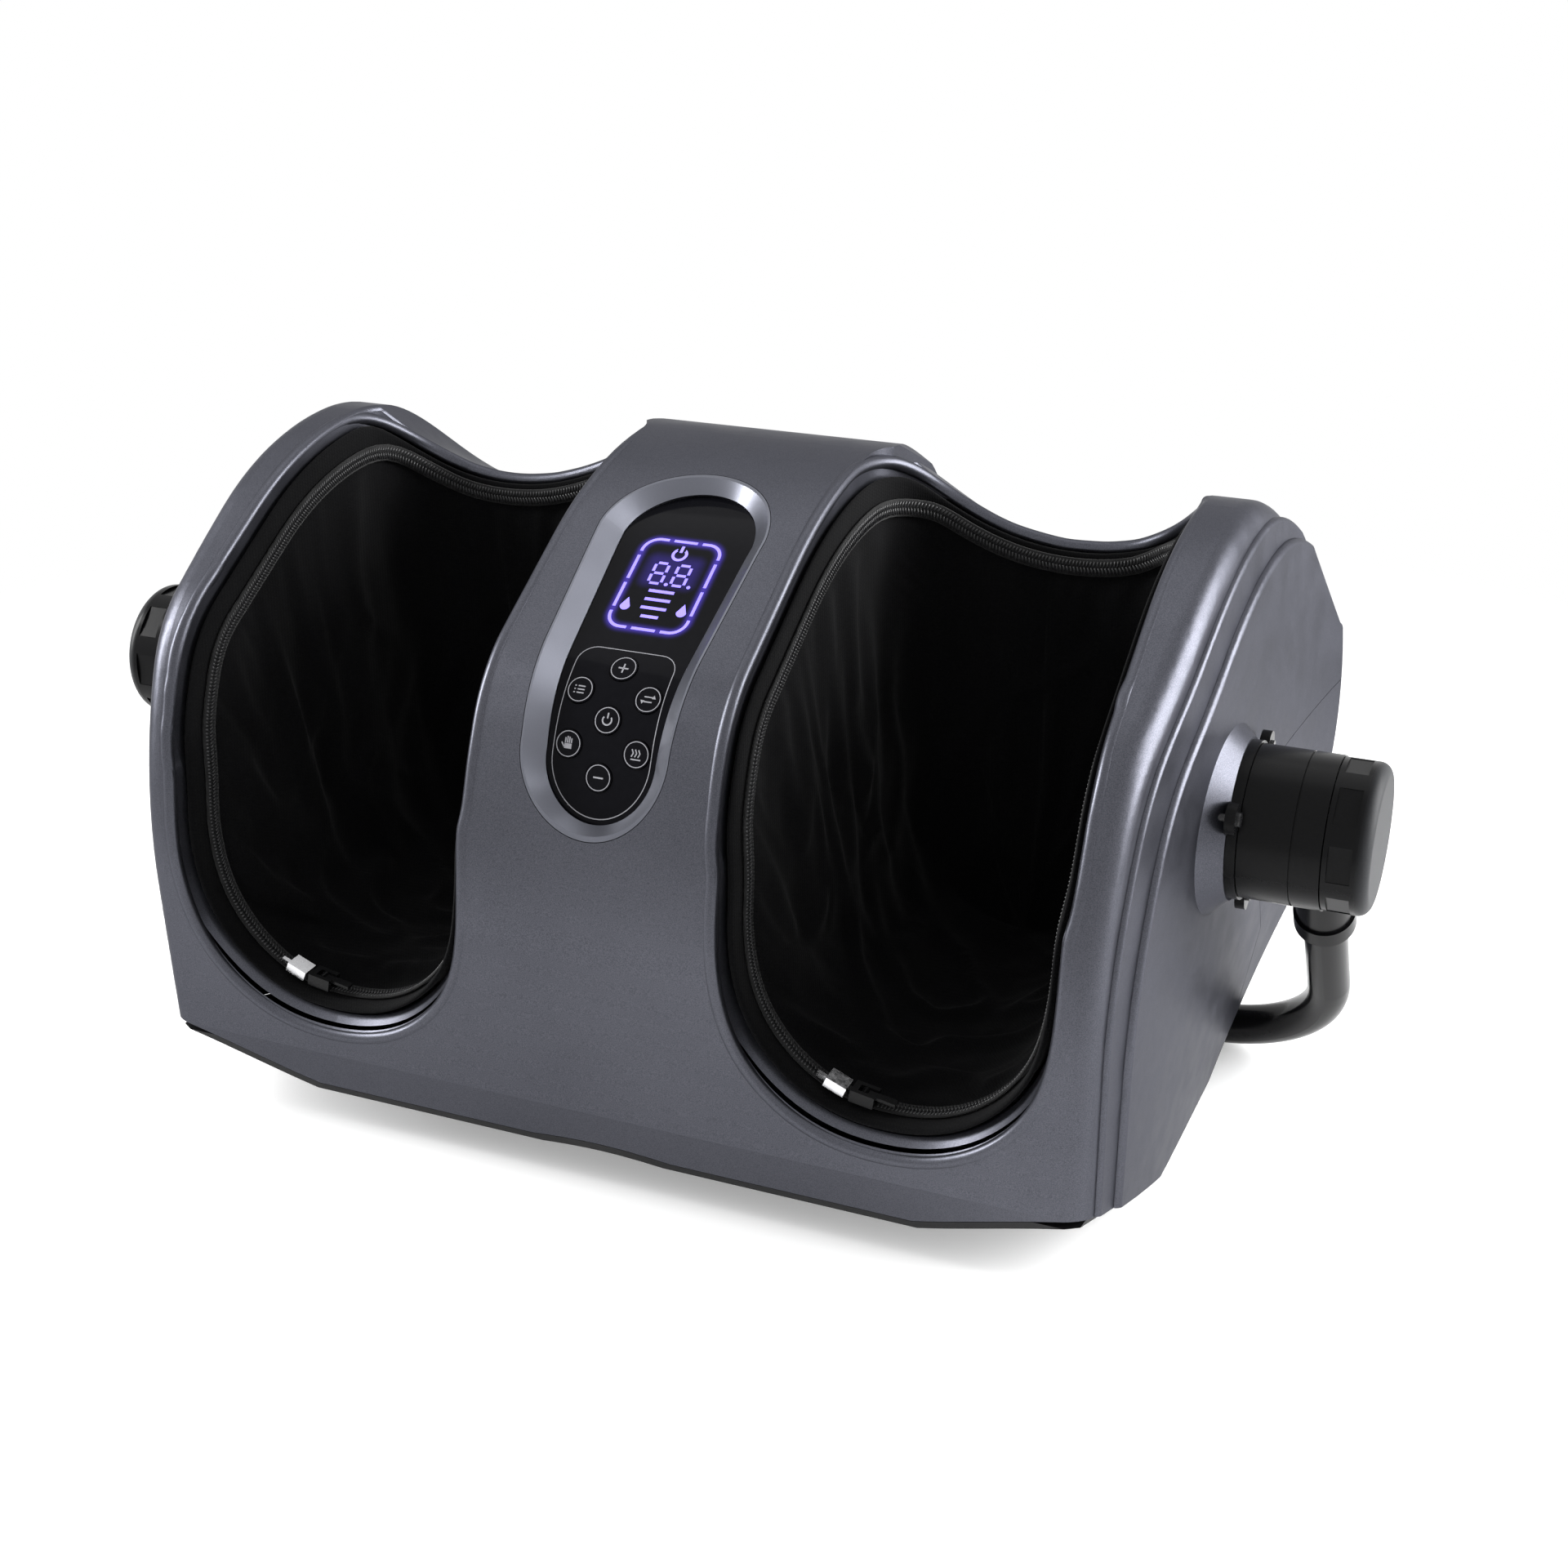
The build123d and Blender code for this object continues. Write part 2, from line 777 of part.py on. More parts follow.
zip_stops = []
sliders = {}
pulls = {}
for side, word in ((-1, "left"), (1, "right")):
    stop_plane = zip_plane(side, stop_offset)
    slider_plane = zip_plane(side, slider_offset)
    stop_body = placed_box(stop_plane, stop_length, stop_width, stop_height)
    prong = placed_box(stop_plane, stop_length, stop_width / 4, stop_height / 2)
    prong_shift = stop_plane.x_dir * (-stop_length / 2)
    zip_stops.append(stop_body + Pos(*prong_shift) * prong)
    body = placed_box(slider_plane, slider_length, slider_width, slider_height)
    slot_plane = slider_plane.offset(slider_roof)
    slot = slot_plane * Pos(slider_length / 4, 0) * Box(
        slider_length, slider_width / 2, slider_height, align=(Align.CENTER, Align.CENTER, Align.MIN)
    )
    sliders[word] = body - slot
    pin_plane = slider_plane.offset(slider_height - slider_roof)
    pin = Plane(origin=pin_plane.origin, x_dir=pin_plane.x_dir, z_dir=pin_plane.y_dir)
    sliders[word] += extrude(pin * Circle(pull_pin), amount=slider_width / 2, both=True)
    tab_lift = slider_height - slider_roof - pull_thick / 2
    tab = placed_box(slider_plane, pull_length, slider_width / 2 - 2 * fit, pull_thick, tab_lift)
    eye = extrude(pin * Circle(pull_pin + pull_eye), amount=slider_width / 4 - fit, both=True)
    shift = pin_plane.x_dir * (pull_length / 2)
    tab = Pos(*shift) * tab
    bore = extrude(pin * Circle(pull_pin + slip), amount=slider_width, both=True)
    pulls[word] = (tab + eye) - bore

# Chassis on the tray
floor_height = sole_height - fit
chassis_thick = 4.0
chassis_half = 185.0
chassis_front = 78.0
chassis_back = 170.0
ear_half = 199.0
ear_front = 92.0
ear_back = 118.0
chassis_top = floor_height + chassis_thick
pivot_out = 70.5
pivot_depth = 105.0
pivot_pin_radius = 2.5
pivot_pin_top = 112.0
pivot_boss_radius = 5.5
pivot_boss_low = 62.0
pivot_boss_high = 120.0
plate_start = 2.6
plate_end = 6.6
plate_front = 45.0
plate_back = 165.0
plate_low = 80.0
plate_high = 175.0
plate_side = 40.0
arm_half = 2.0
arm_low = 98.0
arm_high = 112.0
arm_back = 208.0
fork_back = 220.0
fork_inner = 7.5
fork_outer = 10.5
fork_web = 4.0


def block(x_from, x_to, d_from, d_to, h_from, h_to):
    """A box by its limits across, from the front and above the floor."""
    size = (abs(x_to - x_from), d_to - d_from, h_to - h_from)
    middle = ((x_from + x_to) / 2, front_y + (d_from + d_to) / 2, (h_from + h_to) / 2)
    return Pos(*middle) * Box(*size)


def upright(x, depth, radius, low, high):
    return Pos(x, front_y + depth, low) * Cylinder(
        radius, high - low, align=(Align.CENTER, Align.CENTER, Align.MIN)
    )


def kneading_plate(side, out):
    """Curved paddle behind the lining, with its pivot boss and the fork for its disc."""
    shape = well_prism(side, -plate_end) - well_prism(side, -plate_start)
    near = side * well_centre + out * plate_side
    far = side * well_centre + out * (shoulder_half + plate_end + wall)
    shape &= block(near, far, plate_front, plate_back, plate_low, plate_high)
    x = side * well_centre + out * pivot_out
    shape += upright(x, pivot_depth, pivot_boss_radius, pivot_boss_low, pivot_boss_high)
    shape += block(x - arm_half, x + arm_half, pivot_depth, arm_back, arm_low, arm_high)
    shape += block(x - fork_outer, x + fork_outer, arm_back - fork_web, arm_back, arm_low, arm_high)
    for prong_side in (-1, 1):
        inner = x + prong_side * fork_inner
        outer = x + prong_side * fork_outer
        shape += block(inner, outer, arm_back - fork_web, fork_back, arm_low, arm_high)
    shape -= upright(x, pivot_depth, pivot_pin_radius + slip, 0, pivot_pin_top + fit)
    return shape


plates = {
    "knead_plate_left_outer": kneading_plate(-1, -1),
    "knead_plate_left_inner": kneading_plate(-1, 1),
    "knead_plate_right_inner": kneading_plate(1, -1),
    "knead_plate_right_outer": kneading_plate(1, 1),
}
chassis = block(-chassis_half, chassis_half, chassis_front, chassis_back, floor_height, chassis_top)
chassis += block(-ear_half, ear_half, ear_front, ear_back, floor_height, chassis_top)

# Sole rollers under the linings
roller_depths = (84.0, 136.0)
roller_height = 39.0
roller_radius = 12.0
nub_radius = 4.0
nub_sink = 1.0
nub_count = 6
nub_rows = 4
roller_half = 37.0
axle_radius = 3.0
bearing_half_from = 39.0
bearing_half_to = 43.0
bearing_wide = 8.0
bearing_top = 46.0
rollers = {}
axles = []
for side, word in ((-1, "left"), (1, "right")):
    x = side * well_centre
    for depth, place in zip(roller_depths, ("front", "rear")):
        along = Plane(origin=(x, front_y + depth, roller_height), x_dir=(0, 1, 0), z_dir=(1, 0, 0))
        shape = extrude(along * Circle(roller_radius), amount=roller_half, both=True)
        for row in range(nub_rows):
            shift = roller_half * (2 * row + 1 - nub_rows) / nub_rows
            for step in range(nub_count):
                angle = 360 * (step + (row % 2) / 2) / nub_count
                radius = roller_radius - nub_sink
                nub_y = front_y + depth + radius * cos(radians(angle))
                nub_z = roller_height + radius * sin(radians(angle))
                shape += Pos(x + shift, nub_y, nub_z) * Sphere(nub_radius)
        shape -= extrude(along * Circle(axle_radius + slip), amount=roller_half + nub_radius, both=True)
        rollers["sole_roller_" + word + "_" + place] = shape
        axles.append(extrude(along * Circle(axle_radius), amount=bearing_half_to, both=True))
        for direction in (-1, 1):
            near = x + direction * bearing_half_from
            far = x + direction * bearing_half_to
            front, back = depth - bearing_wide, depth + bearing_wide
            chassis += block(near, far, front, back, floor_height, bearing_top)
        chassis -= extrude(along * Circle(axle_radius + slip), amount=bearing_half_to + wall, both=True)
for side in (-1, 1):
    for out in (-1, 1):
        x = side * well_centre + out * pivot_out
        chassis += upright(x, pivot_depth, pivot_pin_radius, floor_height, pivot_pin_top)
        chassis += upright(x, pivot_depth, pivot_boss_radius, floor_height, pivot_boss_low - fit)

# Drive shaft with four slanted discs behind the wells
shaft_depth = 228.0
shaft_height = 105.0
shaft_radius = 4.0
shaft_half = 205.0
swash_radius = 16.0
swash_thick = 5.0
swash_slant = 5.0
pulley_x = 20.0
pulley_wide = 9.0
pulley_radius = 40.0
small_radius = 9.0
belt_thick = 2.0
belt_gap = 0.06
bracket_foot = 148.0
bracket_toe_height = 24.0
bracket_knee = (196.0, 52.0)
bracket_shin = (203.0, 60.0)
bracket_top = 118.0
bracket_back = 242.0
bracket_back_height = 88.0
bracket_heel = (224.0, 52.0)
mount_front = 150.0
mount_back = 169.0
mount_top = 50.0
motor_depth = 165.0
motor_height = 62.0
motor_radius = 21.0
motor_from = -40.0
motor_to = 15.0
motor_bore = 20.0
motor_shaft_radius = 3.0
bearing_first_x = 75.0
bearing_second_x = 165.0
bearing_thick = 8.0


def across(depth, height, x=0):
    """A plane square to the left-right direction, at a depth and a height."""
    return Plane(origin=(x, front_y + depth, height), x_dir=(0, 1, 0), z_dir=(1, 0, 0))


def rod(depth, height, radius, x_from, x_to):
    return extrude(across(depth, height, x_from) * Circle(radius), amount=x_to - x_from)


drive_shaft = rod(shaft_depth, shaft_height, shaft_radius, -shaft_half, shaft_half)
for side in (-1, 1):
    for out in (-1, 1):
        x = side * well_centre + out * pivot_out
        tilt = Rot(0, out * side * swash_slant, 0) * Rot(0, 90, 0)
        wobble = Pos(x, front_y + shaft_depth, shaft_height) * tilt * Cylinder(swash_radius, swash_thick)
        drive_shaft += wobble
drive_shaft += rod(shaft_depth, shaft_height, pulley_radius, pulley_x, pulley_x + pulley_wide)
motor_rotor = rod(motor_depth, motor_height, motor_shaft_radius, motor_to - motor_bore, pulley_x)
motor_rotor += rod(motor_depth, motor_height, small_radius, pulley_x, pulley_x + pulley_wide)
motor = rod(motor_depth, motor_height, motor_radius, motor_from, motor_to)
motor -= rod(motor_depth, motor_height, motor_shaft_radius + slip, motor_to - motor_bore - fit, motor_to)


def belt_hull(grow):
    """Outline round both pulleys, grown outwards."""
    start = Vector(front_y + motor_depth, motor_height)
    end = Vector(front_y + shaft_depth, shaft_height)
    run = end - start
    length = run.length
    along = run.normalized()
    normal = Vector(-along.Y, along.X)
    lean = (small_radius - pulley_radius) / length
    rise = (1 - lean * lean) ** 0.5
    tips = []
    for sign in (1, -1):
        direction = along * lean + normal * (sign * rise)
        tips.append((start + direction * (small_radius + grow), end + direction * (pulley_radius + grow)))
    return make_face([
        Line(tips[0][0], tips[0][1]),
        ThreePointArc(tips[0][1], end + along * (pulley_radius + grow), tips[1][1]),
        Line(tips[1][1], tips[1][0]),
        ThreePointArc(tips[1][0], start - along * (small_radius + grow), tips[0][0]),
    ])


belt_wide = pulley_wide - 2 * fit
belt_face = belt_hull(belt_gap + belt_thick) - belt_hull(belt_gap)
drive_belt = extrude(Plane.YZ.offset(pulley_x + fit) * belt_face, amount=belt_wide)

bracket_points = (
    (bracket_foot, chassis_top),
    (bracket_foot, bracket_toe_height),
    bracket_knee,
    bracket_shin,
    (bracket_shin[0], bracket_top),
    (bracket_back, bracket_top),
    (bracket_back, bracket_back_height),
    bracket_heel,
    (chassis_back, chassis_top),
)
bracket_outline = Polyline(*[(front_y + depth, height) for depth, height in bracket_points], close=True)
bracket_face = make_face(bracket_outline)
brackets = []
for x in (-bearing_second_x, -bearing_first_x, bearing_first_x, bearing_second_x):
    shape = extrude(Plane.YZ.offset(x - bearing_thick / 2) * bracket_face, amount=bearing_thick)
    bore = rod(shaft_depth, shaft_height, shaft_radius + slip, x - bearing_thick, x + bearing_thick)
    brackets.append(shape - bore)
motor_mount = block(motor_from, motor_to, mount_front, mount_back, chassis_top, mount_top)
motor_mount -= rod(motor_depth, motor_height, motor_radius + slip, motor_from - wall, motor_to + wall)

# Backing plates with heating pads
back_from = 200.0
back_to = 202.9
back_half = 46.0
back_low = 62.0
back_high = 185.0
heater_from = 198.7
heater_half = 30.0
heater_low = 90.0
heater_high = 168.0
backs = []
heaters = {}
for side, word in ((-1, "left"), (1, "right")):
    x = side * well_centre
    backs.append(block(x - back_half, x + back_half, back_from, back_to, back_low, back_high))
    heaters[word] = block(x - heater_half, x + heater_half, heater_from, back_from, heater_low, heater_high)

# Main board on the chassis
main_half = 36.0
main_front = 92.0
main_back = 136.0
main_low = 20.0
main_thick = 1.6
standoff_radius = 2.5
standoff_in = 5.0
main_board = block(-main_half, main_half, main_front, main_back, main_low, main_low + main_thick)
for x in (-main_half + standoff_in, main_half - standoff_in):
    for depth in (main_front + standoff_in, main_back - standoff_in):
        chassis += upright(x, depth, standoff_radius, floor_height, main_low)
parts_front = 100.0
board_part_sizes = ((-28.0, -6.0, 20.0, 18.0), (2.0, 14.0, 8.0, 12.0), (18.0, 28.0, 28.0, 8.0))
board_parts = []
for left, right, deep, tall in board_part_sizes:
    seat_height = main_low + main_thick
    board_parts.append(block(left, right, parts_front, parts_front + deep, seat_height, main_low + tall))

# Power inlet in the rear shell
inlet_half = 15.0
inlet_low = 126.0
inlet_high = 150.0
inlet_from = 268.0
inlet_face_sink = 1.2
inlet_flange = 4.0
inlet_pin = 1.2
inlet_pin_gap = 7.0
inlet_slot_sink = 12.0
inlet_body = block(-inlet_half, inlet_half, inlet_from, body_depth, inlet_low, inlet_high)
inlet_hole = block(
    -inlet_half - fit, inlet_half + fit, inlet_from, body_depth + wall, inlet_low - fit, inlet_high + fit
)
rear_shell -= inlet_hole
inlet = inlet_body & slab(shrunk(main_face, inlet_face_sink))
flange_box = block(
    -inlet_half - inlet_flange,
    inlet_half + inlet_flange,
    inlet_from,
    body_depth,
    inlet_low - inlet_flange,
    inlet_high + inlet_flange,
)
inlet += flange_box & (slab(shrunk(main_face, wall + slip)) - slab(shrunk(main_face, 2 * wall)))
inlet_middle = (inlet_low + inlet_high) / 2
inlet -= block(
    -inlet_half + wall, inlet_half - wall, body_depth - inlet_slot_sink, body_depth + wall,
    inlet_low + wall, inlet_high - wall,
)
for x in (-inlet_pin_gap, 0, inlet_pin_gap):
    pin_height = inlet_middle + (wall if x == 0 else -wall)
    inlet += block(
        x - inlet_pin, x + inlet_pin, body_depth - inlet_slot_sink - wall,
        body_depth - 2 * wall, pin_height - wall, pin_height + wall,
    )

# Rubber feet
foot_x = 150.0
foot_front = 66.0
foot_back = 158.0
foot_radius = 11.0
foot_stem = 3.0
tray_bottom = sole_height - tray_drop
feet = []
for x in (-foot_x, foot_x):
    for depth in (foot_front, foot_back):
        foot = upright(x, depth, foot_radius, 0, tray_bottom)
        feet.append(foot + upright(x, depth, foot_stem, 0, floor_height - fit))
        tray -= upright(x, depth, foot_stem + slip, 0, tray_top)

# Base screws
screw_head_radius = 4.0
screw_head = 2.0
screw_radius = 1.9
screw_tip = 13.0
screw_clear = 0.15
screw_x = 60.0
screw_front = 92.0
screw_back = 162.0
ear_screw_x = 178.0
ear_screw_depth = 112.0
screw_places = []
for direction in (-1, 1):
    screw_places.append((direction * screw_x, screw_front))
    screw_places.append((direction * screw_x, screw_back))
    screw_places.append((direction * ear_screw_x, ear_screw_depth))
screws = []
for x, depth in screw_places:
    screws.append(
        upright(x, depth, screw_head_radius, tray_bottom, tray_bottom + screw_head)
        + upright(x, depth, screw_radius, tray_bottom, screw_tip)
    )
    tray -= upright(x, depth, screw_head_radius + screw_clear, 0, tray_bottom + screw_head + screw_clear)
    tray -= upright(x, depth, screw_radius + screw_clear, 0, tray_top)
    chassis -= upright(x, depth, screw_radius + slip, 0, screw_tip + fit)

# Handle bar, hubs and clamping knobs
flange_face = 231.0
flange_radius = 31.5
lobe_radius = 6.5
lobe_out = 34.0
lobe_first = -83.0
lobe_count = 3
lobe_screw_head = 2.8
lobe_screw_tall = 1.2
lobe_screw_radius = 1.6
lobe_screw_tip = 217.0
hub_from = 231.3
hub_to = 262.7
hub_radius = 30.5
hub_groove_x = 251.0
hub_groove = 0.8
bar_x = 257.1
tube_radius = 9.0
tube_wall = 1.5
bar_reach = 184.6
bar_bend = 60.0
bar_start = 33.0
neck_radius = 11.5
neck_from = 18.0
neck_to = 66.0
collar_to = 70.0
collar_radius = 12.6
collar_run = 9.0
knob_from = 263.1
knob_to = 280.6
knob_radius = 30.0
knob_round = 5.0
knob_pads = 8
knob_pad_half = 7.5
knob_pad_from = 265.0
knob_pad_to = 274.0
knob_pad_sink = 1.2
stud_from = 204.0
nut_from = 205.0
nut_to = 212.6
nut_radius = 12.0
bar_angle = asin((axis_height - tube_radius) / bar_reach)
arm_dir = Vector(0, cos(bar_angle), -sin(bar_angle))


def ring_spot(angle, out):
    return axis_y + out * cos(radians(angle)), axis_height + out * sin(radians(angle))


def side_disc(side, y, z, radius, x_from, x_to):
    start = Plane(origin=(side * x_from, y, z), x_dir=(0, 1, 0), z_dir=(side, 0, 0))
    return extrude(start * Circle(radius), amount=x_to - x_from)


def spot_on_bar(x, out):
    return Vector(x, axis_y, axis_height) + arm_dir * out


flanges = {}
flange_screws = []
hubs = {}
knobs = {}
nuts = []
arm_start = bar_reach - bar_bend
bend_mid = bar_bend * (1 - cos(radians(45)))
middle_x = bar_x - bend_mid
middle_out = arm_start + bar_bend * sin(radians(45))
tube_path = Wire([
    Line(spot_on_bar(bar_x, bar_start), spot_on_bar(bar_x, arm_start)),
    ThreePointArc(
        spot_on_bar(bar_x, arm_start),
        spot_on_bar(middle_x, middle_out),
        spot_on_bar(bar_x - bar_bend, bar_reach),
    ),
    Line(spot_on_bar(bar_x - bar_bend, bar_reach), spot_on_bar(bar_bend - bar_x, bar_reach)),
    ThreePointArc(
        spot_on_bar(bar_bend - bar_x, bar_reach),
        spot_on_bar(-middle_x, middle_out),
        spot_on_bar(-bar_x, arm_start),
    ),
    Line(spot_on_bar(-bar_x, arm_start), spot_on_bar(-bar_x, bar_start)),
])
tube_start = Plane(origin=spot_on_bar(bar_x, bar_start), z_dir=arm_dir)
bar_tube = sweep(tube_start * (Circle(tube_radius) - Circle(tube_radius - tube_wall)), path=tube_path)
for side, word in ((-1, "left"), (1, "right")):
    flange = disc(side, boss_face_x + slip, flange_face, flange_radius)
    for step in range(lobe_count):
        y, z = ring_spot(lobe_first + step * 360 / lobe_count, lobe_out)
        flange += side_disc(side, y, z, lobe_radius, boss_face_x + slip, flange_face)
        flange -= side_disc(side, y, z, lobe_screw_radius + slip, boss_face_x - wall, flange_face)
        bore_end = boss_face_x + wall
        front_shell -= side_disc(side, y, z, lobe_screw_radius + slip, lobe_screw_tip - slip, bore_end)
        screw = side_disc(side, y, z, lobe_screw_radius, lobe_screw_tip, flange_face)
        screw += side_disc(side, y, z, lobe_screw_head, flange_face, flange_face + lobe_screw_tall)
        flange_screws.append(screw)
    flange -= disc(side, boss_face_x - wall, flange_face + wall, stud_radius + stud_clear)
    flanges[word] = flange
    hub = disc(side, hub_from, hub_to, hub_radius)
    groove = disc(side, hub_groove_x, hub_groove_x + hub_groove, hub_radius + wall)
    groove -= disc(side, hub_groove_x - wall, hub_groove_x + wall, hub_radius - hub_groove)
    hub -= groove
    neck_plane = Plane(origin=spot_on_bar(side * bar_x, neck_from), z_dir=arm_dir)
    neck = extrude(neck_plane * Circle(neck_radius), amount=neck_to - neck_from)
    collar_plane = Plane(origin=spot_on_bar(side * bar_x, collar_to - collar_run), z_dir=arm_dir)
    neck += extrude(collar_plane * Circle(collar_radius), amount=collar_run)
    neck -= disc(side, hub_to, knob_to + wall, knob_radius + wall)
    hub += neck
    tube_bore = extrude(
        Plane(origin=spot_on_bar(side * bar_x, bar_start - fit), z_dir=arm_dir) * Circle(tube_radius + slip),
        amount=collar_to,
    )
    hub -= tube_bore
    hub -= disc(side, hub_from - wall, hub_to + wall, stud_radius + stud_clear)
    hubs[word] = hub
    knob = disc(side, knob_from, knob_to, knob_radius)
    knob = fillet(knob.edges().sort_by(Axis.X)[-1 if side > 0 else 0], knob_round)
    for step in range(knob_pads):
        angle = 360 / knob_pads * step
        pad = Box(knob_pad_to - knob_pad_from, 2 * knob_pad_sink, 2 * knob_pad_half)
        pad_x = side * (knob_pad_from + knob_pad_to) / 2
        knob -= Pos(pad_x, axis_y, axis_height) * Rot(angle, 0, 0) * Pos(0, knob_radius, 0) * pad
    knob += disc(side, stud_from, knob_from, stud_radius)
    knobs[word] = knob
    nut = extrude(axial(side, nut_from) * RegularPolygon(nut_radius, 6), amount=nut_to - nut_from)
    nuts.append(nut - disc(side, nut_from - wall, nut_to + wall, stud_radius + slip))


def write(name, shapes):
    solids = shapes if isinstance(shapes, list) else [shapes]
    flat = [solid for shape in solids for solid in shape.solids()]
    whole = flat[0] if len(flat) == 1 else Compound(children=flat)
    print(name, len(flat), round(sum(solid.volume for solid in flat)))
    export_step(whole, "parts/" + name + ".step")


write("front_shell", front_shell)
write("rear_shell", rear_shell)
write("base_tray", tray)
write("console_bezel", bezel)
write("panel_lens", lens)
write("panel_carrier", carrier)
write("key_membrane", [membrane] + domes)
write("control_board", control_board)
write("display_module", display_module)
write("display_symbols", display_symbols)
for name, shape in keys.items():
    write(name, shape)
for side, word in ((-1, "left"), (1, "right")):
    write("well_lining_" + word, lining_solid(side))
    write("zip_chain_" + word, zip_solid(side))
    write("zip_slider_" + word, sliders[word])
    write("zip_pull_" + word, pulls[word])
    write("heating_pad_" + word, heaters[word])
    write("hub_flange_" + word, flanges[word])
    write("bar_hub_" + word, hubs[word])
    write("clamp_knob_" + word, knobs[word])
write("zip_stops", zip_stops)
write("clamp_nuts", nuts)
write("flange_screws", flange_screws)
write("bar_tube", bar_tube)
for name, shape in plates.items():
    write(name, shape)
for name, shape in rollers.items():
    write(name, shape)
write("roller_axles", axles)
write("chassis", chassis)
write("bearing_brackets", brackets)
write("well_back_plates", backs)
write("drive_shaft", drive_shaft)
write("drive_belt", drive_belt)
write("motor", motor)
write("motor_rotor", motor_rotor)
write("motor_mount", motor_mount)
write("main_board", main_board)
write("board_parts", board_parts)
write("power_inlet", inlet)
write("rubber_feet", feet)
write("base_screws", screws)
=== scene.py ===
import json
from math import cos, pi, radians, sin, sqrt

import bmesh
import bpy
from mathutils import Matrix, Vector, noise
from mathutils.bvhtree import BVHTree
from mathutils.kdtree import KDTree


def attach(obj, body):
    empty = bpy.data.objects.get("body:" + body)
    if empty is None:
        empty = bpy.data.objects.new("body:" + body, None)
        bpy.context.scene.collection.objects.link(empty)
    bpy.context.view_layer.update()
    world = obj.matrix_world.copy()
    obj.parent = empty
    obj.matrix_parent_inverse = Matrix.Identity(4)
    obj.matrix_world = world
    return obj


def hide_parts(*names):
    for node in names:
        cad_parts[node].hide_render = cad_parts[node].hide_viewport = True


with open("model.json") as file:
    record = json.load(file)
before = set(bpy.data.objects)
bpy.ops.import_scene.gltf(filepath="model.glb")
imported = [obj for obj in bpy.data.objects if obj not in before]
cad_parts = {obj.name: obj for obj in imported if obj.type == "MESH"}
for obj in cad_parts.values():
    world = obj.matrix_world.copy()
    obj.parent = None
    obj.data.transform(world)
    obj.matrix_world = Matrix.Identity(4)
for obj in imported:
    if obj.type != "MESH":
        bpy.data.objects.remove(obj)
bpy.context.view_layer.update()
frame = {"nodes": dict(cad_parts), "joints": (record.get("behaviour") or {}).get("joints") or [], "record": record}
record = frame["record"]
nodes = frame["nodes"]
print("frame loaded:", len(nodes), "nodes")

frontY = -0.1465        # front face of the body, from the CAD
wellX = 0.1223          # middle of each leg well


# ---------- shader helpers: a socket that does maths, and a finish that holds one material

class Num:
    def __init__(self, finish, socket):
        self.finish = finish
        self.socket = socket

    def pair(self, operation, first, second):
        return self.finish.math(operation, first, second)

    def __add__(self, other): return self.pair("ADD", self, other)
    def __radd__(self, other): return self.pair("ADD", other, self)
    def __sub__(self, other): return self.pair("SUBTRACT", self, other)
    def __rsub__(self, other): return self.pair("SUBTRACT", other, self)
    def __mul__(self, other): return self.pair("MULTIPLY", self, other)
    def __rmul__(self, other): return self.pair("MULTIPLY", other, self)
    def __truediv__(self, other): return self.pair("DIVIDE", self, other)
    def __rtruediv__(self, other): return self.pair("DIVIDE", other, self)
    def __pow__(self, other): return self.pair("POWER", self, other)
    def __neg__(self): return self.pair("MULTIPLY", self, -1.0)
    def __abs__(self): return self.pair("ABSOLUTE", self, 0.0)


